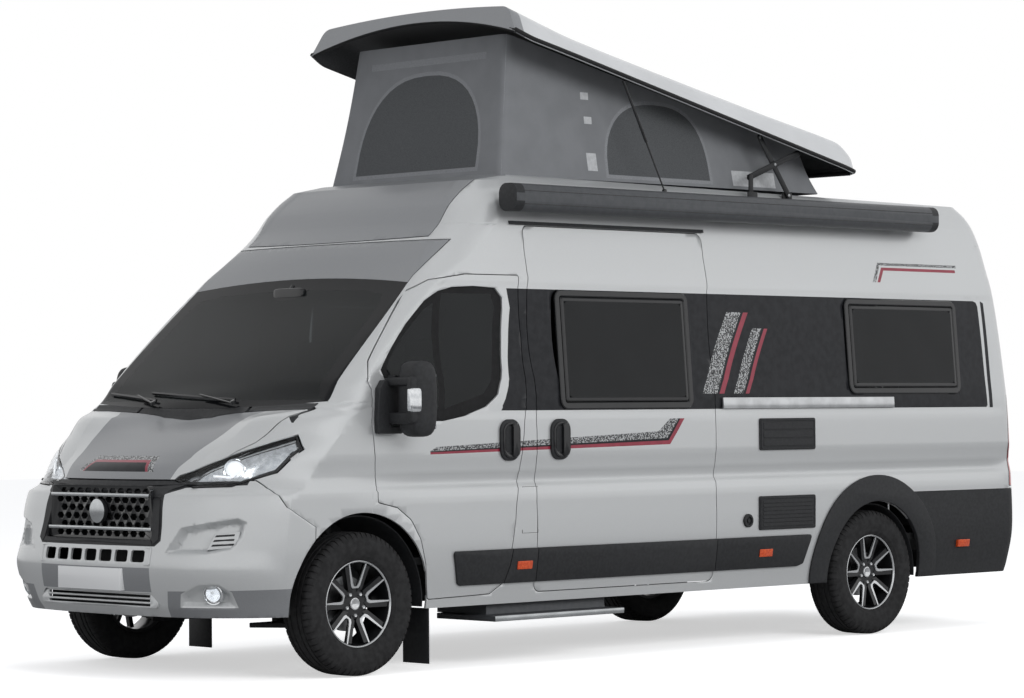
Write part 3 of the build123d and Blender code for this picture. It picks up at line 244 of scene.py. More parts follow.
# Body skin: pressed panels over one smooth hull. Its sections repeat the part's table, in metres:
# height, setback of nose, corner and side, corner y, corner bulge, side setback, tail setback.
HULL = [
    (0.320, 0.072, 0.132, 0.492, 0.620, 0.062, 0.047, 0.040),
    (0.380, 0.036, 0.096, 0.480, 0.620, 0.065, 0.039, 0.020),
    (0.565, 0.005, 0.062, 0.452, 0.620, 0.087, 0.010, 0.000),
    (0.655, 0.016, 0.077, 0.447, 0.620, 0.071, 0.002, 0.004),
    (0.760, 0.048, 0.097, 0.452, 0.620, 0.069, 0.000, 0.009),
    (0.925, 0.077, 0.137, 0.482, 0.620, 0.066, 0.000, 0.018),
    (0.960, 0.088, 0.197, 0.562, 0.600, 0.077, 0.006, 0.020),
    (1.005, 0.120, 0.227, 0.602, 0.560, 0.089, 0.013, 0.023),
    (1.060, 0.160, 0.262, 0.642, 0.560, 0.095, 0.008, 0.026),
    (1.110, 0.237, 0.312, 0.682, 0.560, 0.105, 0.000, 0.029),
    (1.220, 0.460, 0.437, 0.792, 0.640, 0.089, 0.000, 0.036),
    (1.310, 0.657, 0.542, 0.872, 0.680, 0.092, 0.001, 0.043),
    (1.362, 0.682, 0.737, 0.982, 0.925, 0.038, 0.002, 0.047),
    (1.500, 0.827, 0.871, 1.052, 0.918, 0.034, 0.012, 0.058),
    (2.042, 1.412, 1.446, 1.602, 0.864, 0.032, 0.060, 0.116),
    (2.175, 1.523, 1.582, 1.802, 0.800, 0.036, 0.088, 0.136),
    (2.330, 1.685, 1.745, 2.005, 0.700, 0.077, 0.120, 0.165),
    (2.425, 1.762, 1.802, 2.082, 0.660, 0.084, 0.144, 0.196),
    (2.500, 1.847, 1.882, 2.122, 0.640, 0.080, 0.182, 0.225),
    (2.568, 1.947, 1.967, 2.162, 0.620, 0.070, 0.242, 0.262),
    (2.605, 2.122, 2.142, 2.282, 0.600, 0.050, 0.297, 3.680),
]
hull_front, hull_half, hull_corner = 3.1815, 1.032, 0.110
roof_edge_z = 2.568


def arc(start, middle, end, shares):
    """Points on the arc through three points, each point a complex number of x and y."""
    w = (end - start) / (middle - start)
    centre = (middle - start) * (w - abs(w) ** 2) / (2j * w.imag) + start
    turn = np.angle((middle - centre) / (start - centre)) + np.angle((end - centre) / (middle - centre))
    return centre + (start - centre) * np.exp(1j * turn * np.array(shares))


def hull_line(row):
    """The left half of the hull at one height, from the nose to the tail, as rows of x and y."""
    z, nose, corner, side, corner_y, bulge, side_in, tail = row
    a = complex(hull_front - corner, corner_y)
    b = complex(hull_front - side, hull_half - side_in)
    tip = complex(hull_front - nose, 0)
    run = (b - a) / abs(b - a)
    swell = (a + b) / 2 + run * -1j * bulge
    back = -hull_front + tail
    y = hull_half - side_in
    r = hull_corner
    slant = r * (1 - math.sqrt(0.5))
    pieces = [
        arc(a.conjugate(), tip, a, np.linspace(0.5, 1, 24)),
        arc(a, swell, b, np.linspace(0, 1, 28))[1:],
        np.linspace(b, complex(back + r, y), 14)[1:],
        arc(complex(back + r, y), complex(back + slant, y - slant), complex(back, y - r),
            np.linspace(0, 1, 12))[1:],
        np.linspace(complex(back, y - r), complex(back, 0), 8)[1:],
    ]
    line = np.concatenate(pieces)
    return np.stack([line.real, line.imag], axis=1)


hull_z = np.array([row[0] for row in HULL])
hull_points = np.array([hull_line(row) for row in HULL])
smooth_rows = int(np.searchsorted(hull_z, roof_edge_z)) + 1


def row_slopes():
    """The slope of every hull point at each row, chosen so that the curve between rows never overshoots."""
    z, p = hull_z[:smooth_rows], hull_points[:smooth_rows]
    step = np.diff(z)[:, None, None]
    rise = np.diff(p, axis=0) / step
    slopes = np.zeros_like(p)
    before, after = rise[:-1], rise[1:]
    w1, w2 = 2 * step[1:] + step[:-1], step[1:] + 2 * step[:-1]
    same = before * after > 0
    safe_before = np.where(same, before, 1)
    safe_after = np.where(same, after, 1)
    slopes[1:-1] = np.where(same, (w1 + w2) / (w1 / safe_before + w2 / safe_after), 0)
    slopes[0], slopes[-1] = rise[0], rise[-1]
    return slopes


hull_slopes = row_slopes()


def hull_at(z, smooth):
    """The half hull at each given height: straight between the rows, or as one smooth curve through them."""
    z = np.clip(z, hull_z[0], hull_z[-1])
    k = np.clip(np.searchsorted(hull_z, z, side="right") - 1, 0, len(hull_z) - 2)
    h = (hull_z[k + 1] - hull_z[k])[:, None, None]
    t = (z - hull_z[k])[:, None, None] / h
    low, high = hull_points[k], hull_points[k + 1]
    straight = low * (1 - t) + high * t
    if not smooth:
        return straight
    last = len(hull_slopes) - 1
    d0, d1 = hull_slopes[np.minimum(k, last)], hull_slopes[np.minimum(k + 1, last)]
    curve = (low * (2 * t ** 3 - 3 * t ** 2 + 1) + high * (3 * t ** 2 - 2 * t ** 3)
             + d0 * h * (t ** 3 - 2 * t ** 2 + t) + d1 * h * (t ** 3 - t ** 2))
    return np.where((z > roof_edge_z)[:, None, None], straight, curve)


def nearest(points):
    """For each point: how far it lies outside the straight hull, its way out, and the smooth hull's point."""
    points = np.asarray(points, float).reshape(-1, 3)
    distance = np.zeros(len(points))
    outward = np.zeros((len(points), 3))
    smooth_place = np.zeros((len(points), 2))
    for start in range(0, len(points), 4000):
        p = points[start:start + 4000]
        q = np.stack([p[:, 0], abs(p[:, 1])], axis=1)
        line = hull_at(p[:, 2], False)
        a, run = line[:, :-1], np.diff(line, axis=1)
        share = np.sum((q[:, None] - a) * run, axis=2) / np.maximum(np.sum(run ** 2, axis=2), 1e-12)
        share = np.clip(share, 0, 1)
        gap = q[:, None] - a - run * share[:, :, None]
        best = np.argmin(np.sum(gap ** 2, axis=2), axis=1)
        rows = np.arange(len(p))
        along = run[rows, best]
        along = along / np.linalg.norm(along, axis=1)[:, None]
        f = share[rows, best][:, None]
        side = np.stack([along[:, 1], -along[:, 0]], axis=1)
        above = hull_at(p[:, 2] + 0.001, False)
        below = hull_at(p[:, 2] - 0.001, False)
        rise = (above - below)[rows, best] * (1 - f) + (above - below)[rows, best + 1] * f
        lean = np.sum(rise * side, axis=1) / 0.002
        normal = np.stack([side[:, 0], side[:, 1] * np.sign(p[:, 1] + 1e-9), -lean], axis=1)
        curve = hull_at(p[:, 2], True)
        distance[start:start + 4000] = np.sum(gap[rows, best] * side, axis=1)
        outward[start:start + 4000] = normal / np.linalg.norm(normal, axis=1)[:, None]
        smooth_place[start:start + 4000] = curve[rows, best] * (1 - f) + curve[rows, best + 1] * f
    return distance, outward, smooth_place


# Pressed lines of the sides, as depth below the hull. Columns: height, depth.
PRESSED = [(0.890, 0), (0.935, 0.007), (0.952, 0.017), (0.962, 0.019), (1.010, 0.003), (1.020, 0), (1.290, 0),
           (1.330, 0.004), (1.990, 0.004), (2.012, 0)]
pressed_z = [row[0] for row in PRESSED]
pressed_depth = [row[1] for row in PRESSED]


def pressed(points, outward):
    """How deep the pressed lines are at these points: they fade out ahead of the doors and round the tail."""
    flat = np.clip((abs(outward[:, 1]) - 0.93) / 0.05, 0, 1)
    ahead = np.clip((2.35 - points[:, 0]) / 0.5, 0, 1)
    behind = np.clip((points[:, 0] + 3.06) / 0.12, 0, 1)
    return np.interp(points[:, 2], pressed_z, pressed_depth) * flat * ahead * behind


def cut_along(bm, point, normal, faces):
    edges = {e for f in faces for e in f.edges}
    verts = {v for f in faces for v in f.verts}
    bmesh.ops.bisect_plane(bm, geom=[*verts, *edges, *faces], plane_co=point, plane_no=normal, dist=1e-6)


def inside(outline, x, z):
    """Whether a point lies inside an outline, both in x and z."""
    hit = False
    for (x1, z1), (x2, z2) in zip(outline, outline[1:] + outline[:1]):
        if (z1 > z) != (z2 > z) and x < (x2 - x1) * (z - z1) / (z2 - z1) + x1:
            hit = not hit
    return hit


def mark(bm, outline, index, view=(0, 2)):
    """Cuts the outline into the skin, seen along the third axis, and gives its faces another finish."""
    u, v = view
    low = [min(p[i] for p in outline) - 0.01 for i in (0, 1)]
    high = [max(p[i] for p in outline) + 0.01 for i in (0, 1)]
    for (u1, v1), (u2, v2) in zip(outline, outline[1:] + outline[:1]):
        near = []
        for face in bm.faces:
            us = [vert.co[u] for vert in face.verts]
            vs = [vert.co[v] for vert in face.verts]
            if max(us) > low[0] and min(us) < high[0] and max(vs) > low[1] and min(vs) < high[1]:
                near.append(face)
        if not near:
            return
        point, normal = Vector((0, 0, 0)), Vector((0, 0, 0))
        point[u], point[v] = u1, v1
        normal[u], normal[v] = v2 - v1, u1 - u2
        cut_along(bm, point, normal, near)
    for face in bm.faces:
        centre = face.calc_center_median()
        near = low[0] < centre[u] < high[0] and low[1] < centre[v] < high[1]
        if near and inside(outline, centre[u], centre[v]):
            face.material_index = index


def new_piece(name, mesh, node=None, body=None, materials=()):
    """Puts a mesh in the scene, on the body of the node that it stands for."""
    for material in materials:
        mesh.materials.append(material)
    piece = bpy.data.objects.new(name, mesh)
    scene.collection.objects.link(piece)
    nodes = [node] if isinstance(node, str) else list(node or [])
    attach(piece, body or body_of[nodes[0]])
    if nodes:
        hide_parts(*nodes)
    return piece


def baked(name, mesh, modifiers):
    """The mesh with some modifiers applied. Each is its kind and its settings."""
    stand = bpy.data.objects.new(name + "_stand", mesh)
    scene.collection.objects.link(stand)
    for kind, settings in modifiers:
        modifier = stand.modifiers.new(kind.lower(), kind)
        for key, value in settings.items():
            setattr(modifier, key, value)
    graph = bpy.context.evaluated_depsgraph_get()
    done = bpy.data.meshes.new_from_object(stand.evaluated_get(graph))
    done.name = name
    bpy.data.objects.remove(stand)
    return done


def creased(mesh, degrees=32):
    """Smooth shading that breaks at edges sharper than the angle."""
    mesh.shade_smooth()
    mesh.set_sharp_from_angle(angle=math.radians(degrees))
    return mesh


CHAMFER = {"width": 0.0014, "segments": 1, "limit_method": "ANGLE", "angle_limit": math.radians(50)}


def rim_distance(outline, u, v):
    """How far a point lies from the nearest side of an outline."""
    best = 9.0
    for a, b in zip(outline, outline[1:] + outline[:1]):
        run = Vector((b[0] - a[0], b[1] - a[1]))
        away = Vector((u - a[0], v - a[1]))
        share = min(max(away.dot(run) / run.length_squared, 0), 1)
        best = min(best, (away - run * share).length)
    return best


def skin(node, name, materials, inset=0.0, thick=0.012, reach=0.008, step=0.045, marks=(), relief=True,
         chamfer=True,
         dents=(), border=None, sink=0.0, stands_in=True):
    """A pressed panel: the node's outer face, laid on the smooth hull and given a wall with chamfered edges.
    Dents press an outline of y and z in, a border gives the rim another finish, and sink moves it all in."""
    source = frame["nodes"][node].data
    bm = bmesh.new()
    bm.from_mesh(source)
    bmesh.ops.remove_doubles(bm, verts=bm.verts, dist=2e-5)
    distance, outward, _ = nearest([v.co for v in bm.verts])
    bm.verts.index_update()
    bm.normal_update()
    for face in bm.faces:
        face.material_index = 0
    centres = np.array([f.calc_center_median() for f in bm.faces])
    _, face_out, _ = nearest(centres)
    on_roof = [all(v.co.z > roof_edge_z - 1e-4 for v in f.verts) and f.normal.z > 0.5 for f in bm.faces]
    drop = []
    for i, face in enumerate(bm.faces):
        on_hull = all(abs(distance[v.index] + inset) < reach for v in face.verts)
        along = face.normal.dot(Vector(face_out[i])) > 0.6
        if not (on_roof[i] or (on_hull and along)):
            drop.append(face)
    bmesh.ops.delete(bm, geom=drop, context="FACES")
    bmesh.ops.dissolve_limit(bm, angle_limit=0.002, verts=bm.verts[:], edges=bm.edges[:])
    if border:
        bmesh.ops.inset_region(bm, faces=bm.faces[:], thickness=border[1], use_boundary=True,
                               use_even_offset=True)
        for face in bm.faces:
            face.material_index = border[0] if any(e.is_boundary for e in face.edges) else 0
    low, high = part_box(node)
    for axis in range(3):
        stops = list(np.arange(math.ceil(low[axis] / step) * step, high[axis], step))
        if axis == 2 and relief:
            stops += [z for z in pressed_z if low.z < z < high.z]
        for stop in stops:
            point, normal = Vector((0, 0, 0)), Vector((0, 0, 0))
            point[axis], normal[axis] = stop, 1
            near = [f for f in bm.faces
                    if min(v.co[axis] for v in f.verts) < stop < max(v.co[axis] for v in f.verts)]
            if near:
                cut_along(bm, point, normal, near)
    for outline, index, view in marks:
        mark(bm, outline, index, view)
    bmesh.ops.remove_doubles(bm, verts=bm.verts, dist=3e-4)
    places = np.array([v.co for v in bm.verts])
    _, outward, smooth_place = nearest(places)
    depth = pressed(places, outward) if relief else np.zeros(len(places))
    for i, v in enumerate(bm.verts):
        if v.co.z > roof_edge_z:
            continue
        flat = Vector((outward[i][0], outward[i][1])).normalized()
        push = -inset - depth[i] - sink
        for outline, deep in dents:
            if inside(outline, v.co.y, v.co.z):
                share = min(rim_distance(outline, v.co.y, v.co.z) / 0.028, 1)
                push -= deep * share * share * (3 - 2 * share)
        sign = 1 if v.co.y >= 0 else -1
        v.co.x = smooth_place[i][0] + flat.x * push
        v.co.y = sign * smooth_place[i][1] + flat.y * push
    bm.normal_update()
    mesh = bpy.data.meshes.new(name)
    bm.to_mesh(mesh)
    bm.free()
    for material in materials:
        mesh.materials.append(material)
    steps = [("SOLIDIFY", {"thickness": thick, "offset": -1, "material_offset": len(materials) - 1})]
    if chamfer:
        steps.append(("BEVEL", CHAMFER))
    done = creased(baked(name, mesh, steps))
    if stands_in:
        return new_piece(name, done, node)
    return new_piece(name, done, None, body_of[node])


# Window band and the long stripe, cut into the side panels. All outlines are x and z.
window_band = [(1.264, 1.335), (1.200, 1.465), (1.151, 1.694), (1.128, 1.878), (1.158, 1.981),
               (-2.800, 1.981),
               (-2.826, 1.972), (-2.838, 1.950), (-2.868, 1.400), (-2.872, 1.345), (-2.860, 1.333),
               (-1.0, 1.334)]
tail_band = [(-2.868, 1.981), (-2.898, 1.970), (-2.925, 1.331), (-2.892, 1.331)]
LONG_STRIPE = [
    ([(1.774, 1.128), (1.731, 1.150), (0.067, 1.214), (-0.030, 1.284), (-0.100, 1.284), (-0.002, 1.176)], 3),
    ([(1.774, 1.123), (1.774, 1.128), (-0.002, 1.176), (-0.100, 1.284), (-0.112, 1.284), (-0.014, 1.164)], 2),
    ([(1.774, 1.112), (1.774, 1.123), (-0.014, 1.164), (-0.112, 1.284), (-0.146, 1.284), (-0.026, 1.142)], 4),
]
SHORT_STRIPE = [
    ([(-1.861, 2.078), (-1.934, 2.196), (-2.677, 2.196), (-2.677, 2.180), (-1.948, 2.180), (-1.892, 2.078)],
     3),
    ([(-1.904, 2.078), (-1.962, 2.168), (-2.664, 2.168), (-2.664, 2.150), (-1.978, 2.150), (-1.930, 2.078)],
     4),
]
SLASHES = [
    ([(-0.300, 1.420), (-0.560, 1.880), (-0.680, 1.880), (-0.420, 1.420)], 3),
    ([(-0.440, 1.420), (-0.700, 1.880), (-0.740, 1.880), (-0.480, 1.420)], 4),
    ([(-0.560, 1.420), (-0.770, 1.790), (-0.850, 1.790), (-0.640, 1.420)], 3),
    ([(-0.660, 1.420), (-0.870, 1.790), (-0.900, 1.790), (-0.690, 1.420)], 4),
]
side_view, top_view, front_view = (0, 2), (0, 1), (1, 2)
side_marks = [(window_band, 2, side_view), (tail_band, 2, side_view)]
side_marks += [(outline, index, side_view) for outline, index in LONG_STRIPE + SHORT_STRIPE + SLASHES]
side_finish = [silver_paint, front_shade_grey, band_film, speckle_film, red_film, lining]
plain_finish = [silver_paint, lining]

for side in ("left", "right"):
    skin(f"body_side_{side}", f"body_side_panel_{side}", side_finish, marks=side_marks)
    skin(f"cab_door_{side}", f"cab_door_panel_{side}", side_finish, marks=side_marks)
skin("sliding_door", "sliding_door_panel", side_finish, marks=side_marks)
skin("roof_panel", "roof_shell", plain_finish, thick=0.02)
skin("front_wings", "front_wing_panels", plain_finish)

# Bonnet: a dark grey middle, in x and y, which is painted shade on the silver, and a decal of printed film, in y
# and z.
# The decal has a speckled border, a red line and a plain black patch.
BONNET_PAINTED_SHADE = [(3.125, -0.395), (3.125, 0.395), (2.49, 0.60), (2.49, -0.60)]
DECAL = [([(-0.310, 1.040), (0.310, 1.040), (0.250, 1.118), (-0.250, 1.118)], 3),
         ([(-0.272, 1.040), (0.272, 1.040), (0.226, 1.098), (-0.226, 1.098)], 4),
         ([(-0.256, 1.040), (0.256, 1.040), (0.214, 1.086), (-0.214, 1.086)], 2)]
skin("bonnet", "bonnet_panel_pressed", side_finish, thick=0.009, reach=0.0045, step=0.03,
     marks=[(BONNET_PAINTED_SHADE, 1, top_view)] + [(outline, index, front_view) for outline, index in DECAL])

# Plain panels: the rear doors, and the fairing ahead of the pop-top, whose grey is painted shade on the silver.
for side in ("left", "right"):
    skin(f"rear_door_{side}", f"rear_door_panel_{side}", plain_finish, relief=False)
skin("roof_fairing", "roof_fairing_cover", [front_shade_grey, lining], relief=False)

# Glass: laminated windscreen and toughened door panes, tinted, with a black ceramic border printed on the
# inside. The living space has double acrylic panes in black plastic frames, nearly black from outside.
screen_glass = finish("tinted_laminated_glass", "#3C4143", 0.03, ("#3A3F41", "#3E4345", 300.0),
                      clear=0.85, ior=1.22)
side_glass = finish("tinted_toughened_glass", "#34383A", 0.03, ("#383C3E", "#3D4143", 300.0),
                    clear=0.8, ior=1.28)
acrylic = finish("smoked_acrylic", "#242628", 0.05, ("#242628", "#292B2D", 250.0), clear=0.5, ior=1.28)
ceramic = finish("black_ceramic_border", "#161719", 0.12, ("#141517", "#18191B", 30.0), ior=1.25)

# The clear part of the windscreen inside its printed border, as y and z.
SCREEN_CLEAR = [(0.93, 1.398), (0.868, 1.412), (0.83, 1.46), (0.775, 1.90), (0.74, 1.945), (0.60, 1.968),
                (0.09, 1.985), (0.075, 1.93), (-0.075, 1.93), (-0.09, 1.985), (-0.60, 1.968), (-0.74, 1.945),
                (-0.775, 1.90), (-0.83, 1.46), (-0.868, 1.412), (-0.93, 1.398)]
skin("windscreen", "windscreen_pane", [ceramic, screen_glass, screen_glass], thick=0.0045, reach=0.003,
     relief=False,
     chamfer=False, marks=[(SCREEN_CLEAR, 1, front_view)])


def rounded_box(x0, x1, z0, z1, radius, steps=5):
    """An outline with rounded corners, as x and z."""
    points = []
    for cx, cz, start in ((x1 - radius, z1 - radius, 0), (x0 + radius, z1 - radius, 90),
                          (x0 + radius, z0 + radius, 180), (x1 - radius, z0 + radius, 270)):
        for i in range(steps + 1):
            a = math.radians(start + 90 * i / steps)
            points.append((cx + radius * math.cos(a), cz + radius * math.sin(a)))
    return points


def on_side(x, z, out, sign=1):
    """A point on the smooth side of the van at the given x and height, moved outwards."""
    start = 24
    line = hull_at(np.array([z]), True)[0]
    y = float(np.interp(-x, -line[start:-8, 0], line[start:-8, 1]))
    rise = hull_at(np.array([z + 0.01]), True)[0]
    lean = (float(np.interp(-x, -rise[start:-8, 0], rise[start:-8, 1])) - y) / 0.01
    ahead = float(np.interp(-x - 0.01, -line[start:-8, 0], line[start:-8, 1]))
    turn = (ahead - y) / 0.01
    normal = Vector((-turn, 1, -lean)).normalized()
    depth = float(np.interp(z, pressed_z, pressed_depth)) * min(max((2.35 - x) / 0.5, 0), 1)
    place = Vector((x, y, z)) + normal * (out - depth)
    place.y *= sign
    return place


def moulding(outline, profile, at=on_side):
    """A moulding round an outline on a surface. Its profile gives the distances in from the line and out."""
    cx = sum(p[0] for p in outline) / len(outline)
    cz = sum(p[1] for p in outline) / len(outline)
    bm = bmesh.new()
    rows = []
    count = len(outline)
    for i, (x, z) in enumerate(outline):
        before, after = outline[i - 1], outline[(i + 1) % count]
        along = Vector((after[0] - before[0], after[1] - before[1])).normalized()
        inward = Vector((-along.y, along.x))
        if inward.dot(Vector((cx - x, cz - z))) < 0:
            inward = -inward
        spots = [(x + inward.x * d, z + inward.y * d, h) for d, h in profile]
        rows.append([bm.verts.new(at(*spot)) for spot in spots])
    last = len(profile)
    for i in range(count):
        a, b = rows[i], rows[(i + 1) % count]
        for j in range(last):
            bm.faces.new((a[j], b[j], b[(j + 1) % last], a[(j + 1) % last]))
    bmesh.ops.recalc_face_normals(bm, faces=bm.faces)
    return bm


def plate(outline, low, high, at, edge=0.003, domed=True):
    """A closed flat moulding that follows a surface, between two distances out, with a chamfered rim.
    A domed face is split once more on the way in, so that it follows a curved surface."""
    cu = sum(p[0] for p in outline) / len(outline)
    cv = sum(p[1] for p in outline) / len(outline)
    bm = bmesh.new()
    rings = []
    for pull, out in ((0, low), (0, high - edge), (edge, high), (0.5, high))[:4 if domed else 3]:
        ring = []
        for u, v in outline:
            away = Vector((u - cu, v - cv))
            share = 0.5 if pull == 0.5 else 1 - pull / max(away.length, 1e-6)
            ring.append(bm.verts.new(at(cu + away.x * share, cv + away.y * share, out)))
        rings.append(ring)
    count = len(outline)
    for a, b in zip(rings, rings[1:]):
        for i in range(count):
            bm.faces.new((a[i], a[(i + 1) % count], b[(i + 1) % count], b[i]))
    if domed:
        centre = bm.verts.new(at(cu, cv, high))
        for i in range(count):
            bm.faces.new((rings[-1][i], rings[-1][(i + 1) % count], centre))
    else:
        bm.faces.new(rings[-1])
    bm.faces.new(list(reversed(rings[0])))
    bmesh.ops.recalc_face_normals(bm, faces=bm.faces)
    return bm


def block(low, high):
    """A block between two corners."""
    bm = bmesh.new()
    corners = [bm.verts.new((low[0] if i & 1 == 0 else high[0], low[1] if i & 2 == 0 else high[1],
                             low[2] if i & 4 == 0 else high[2])) for i in range(8)]
    for ids in ((0, 2, 3, 1), (4, 5, 7, 6), (0, 1, 5, 4), (2, 6, 7, 3), (0, 4, 6, 2), (1, 3, 7, 5)):
        bm.faces.new([corners[i] for i in ids])
    return bm


def joined(meshes, name):
    """Several working meshes as one mesh."""
    mesh = bpy.data.meshes.new(name)
    whole = bmesh.new()
    for bm in meshes:
        part = bpy.data.meshes.new("part")
        bm.to_mesh(part)
        bm.free()
        whole.from_mesh(part)
        bpy.data.meshes.remove(part)
    whole.to_mesh(mesh)
    whole.free()
    return mesh


def added(name, shapes, like, materials, degrees=32, body=None):
    """A piece beside the part's own nodes. It has the body of the node that it is like."""
    mesh = joined(shapes, name)
    if degrees:
        creased(mesh, degrees)
    return new_piece(name, mesh, None, body or body_of[like], materials)


# Black moulded plastic: polypropylene with a fine leather-like moulded grain, slightly faded to dark grey.
black_plastic = finish("grained_polypropylene", "#232426", 0.58, ("#202123", "#292A2C", 18.0),
                       grained=(1.6, 0.12))
gloss_plastic = finish("gloss_black_plastic", "#1A1B1D", 0.18, ("#18191B", "#1D1E20", 50.0), coat=0.3)

# Window units: a hinged acrylic pane in a clamped frame, with a gap for the rubber seal between them.
WINDOWS = [(-0.2165, 0.8255, 1.340, 1.980), (-2.6085, -1.5665, 1.417, 1.976)]
frame_profile = [(0.0, 0.0), (0.0, 0.010), (0.005, 0.014), (0.030, 0.014), (0.036, 0.009), (0.038, 0.001)]
pane_profile = [(0.040, 0.001), (0.040, 0.010), (0.046, 0.015), (0.060, 0.016), (0.064, 0.012),
                (0.064, 0.001)]
frame_shapes, pane_shapes = [], []
for x0, x1, z0, z1 in WINDOWS:
    for sign in (1, -1):
        at = partial(on_side, sign=sign)
        for profile in (frame_profile, pane_profile):
            frame_shapes.append(moulding(rounded_box(x0, x1, z0, z1, 0.05), profile, at))
        pane = rounded_box(x0 + 0.06, x1 - 0.06, z0 + 0.06, z1 - 0.06, 0.03)
        pane_shapes.append(plate(pane, 0.004, 0.014, at, domed=False))
added("window_frames", frame_shapes, "side_windows", [gloss_plastic])
new_piece("window_panes", creased(joined(pane_shapes, "window_panes")), "side_windows", materials=[acrylic])


def dressed(node, name, materials, width=0.003, segments=2, degrees=30, choose=None, keep=None,
            stands_in=True):
    """The node's own form with its edges rounded, as a moulding or casting has them."""
    bm = bmesh.new()
    bm.from_mesh(frame["nodes"][node].data)
    bmesh.ops.remove_doubles(bm, verts=bm.verts, dist=2e-5)
    if keep:
        bmesh.ops.delete(bm, geom=[f for f in bm.faces if not keep(f.calc_center_median())], context="FACES")
    bmesh.ops.dissolve_limit(bm, angle_limit=0.01, verts=bm.verts[:], edges=bm.edges[:])
    for face in bm.faces:
        face.material_index = choose(face) if choose else 0
    mesh = bpy.data.meshes.new(name)
    bm.to_mesh(mesh)
    bm.free()
    for material in materials:
        mesh.materials.append(material)
    bevel = {"width": width, "segments": segments, "limit_method": "ANGLE",
             "angle_limit": math.radians(degrees),
             "use_clamp_overlap": True}
    done = creased(baked(name, mesh, [("BEVEL", bevel)]), 40)
    if stands_in:
        return new_piece(name, done, node)
    return new_piece(name, done, None, body_of[node])


# Lower trim: grained black mouldings clipped along the sills, round the rear arches and over the corners.
for side in ("left", "right"):
    dressed(f"door_trim_{side}", f"door_mouldings_{side}", [black_plastic])
rail_alloy = finish("anodised_aluminium_rail", "#C9CBCD", 0.28, ("#C0C2C4", "#D2D4D6", 90.0), metallic=0.9)
dressed("side_trim", "sill_mouldings", [black_plastic, rail_alloy],
        choose=lambda f: 1 if 1.30 < f.calc_center_median().z < 1.42 and f.calc_center_median().x < -0.2 else 0)
dressed("arch_flares", "rear_arch_flares", [black_plastic], width=0.005, segments=3)
skin("rear_bumper", "rear_bumper_cover", [black_plastic, black_plastic], relief=False)
plate_white = surface("white_acrylic_plate", "#E9EAEB", 0.3, coat=0.2)[0]
dressed("number_plate", "blank_number_plate", [plate_white], width=0.001)

# Front grille: an injection-moulded honeycomb in a black surround, with two bright bars and a bare disc.
bright_bar = finish("satin_chrome_bar", "#B9BCBE", 0.22, ("#B2B5B7", "#C0C3C5", 60.0), metallic=0.95)
dressed("grille", "honeycomb_grille", [gloss_plastic], width=0.0015, segments=1)
dressed("grille_bars", "grille_bars_and_intake", [bright_bar, silver_paint, black_plastic], width=0.004,
        segments=2,
        choose=lambda f: 1 if f.calc_center_median().z < 0.5 else
        (2 if 0.775 < f.calc_center_median().z < 0.907 and f.calc_center_median().x < 3.125 else 0))
dressed("cowl", "scuttle_panel", [black_plastic], width=0.002)

# Tyre: radial rubber for a light truck, moulded with four grooves and blocks along both shoulders.
# The tread is matt from wear and the sidewall is smooth, with fine raised rings.
tyre_rubber = finish("tyre_rubber", "#222223", 0.82, ("#1D1D1E", "#2B2B2C", 30.0), grained=(2.0, 0.15))
# Half profile from the bead to the middle of the tread: distance from the wheel's middle plane, and radius.
TYRE_HALF = [(0.078, 0.2205), (0.088, 0.224), (0.096, 0.236), (0.100, 0.241), (0.1005, 0.2425),
             (0.106, 0.262),
             (0.1062, 0.2635), (0.1092, 0.280), (0.1098, 0.290), (0.1095, 0.302), (0.1078, 0.318),
             (0.1076, 0.3195),
             (0.1045, 0.330), (0.1042, 0.3315), (0.1005, 0.340), (0.094, 0.352), (0.086, 0.3595),
             (0.076, 0.3625),
             (0.062, 0.3632), (0.060, 0.3560), (0.053, 0.3560), (0.051, 0.3634), (0.030, 0.3638),
             (0.028, 0.3566),
             (0.021, 0.3566), (0.019, 0.3640), (0.0, 0.3640)]
block_count = 64


def tyre_mesh():
    profile = TYRE_HALF + [(-y, r) for y, r in reversed(TYRE_HALF[:-1])]
    bm = bmesh.new()
    rings = []
    for block in range(block_count):
        for part, cut in ((0.0, 0), (0.74, 0), (0.77, 1), (0.97, 1)):
            turn = 2 * math.pi * (block + part) / block_count
            ring = []
            for i, (y, r) in enumerate(profile):
                slot = min(i, len(profile) - 1 - i)
                skew = 0.35 * 2 * math.pi / block_count
                if cut and 14 <= slot <= 18:
                    r -= (0.004, 0.007, 0.007, 0.007, 0.007)[slot - 14]
                a = turn + skew * (y / 0.08 if abs(y) < 0.09 else math.copysign(1, y))
                ring.append(bm.verts.new((r * math.cos(a), y, r * math.sin(a))))
            rings.append(ring)
    for a, b in zip(rings, rings[1:] + rings[:1]):
        for i in range(len(profile) - 1):
            bm.faces.new((a[i], a[i + 1], b[i + 1], b[i]))
        bm.faces.new((a[-1], a[0], b[0], b[-1]))
    bmesh.ops.recalc_face_normals(bm, faces=bm.faces)
    mesh = bpy.data.meshes.new("tyre")
    bm.to_mesh(mesh)
    bm.free()
    return mesh


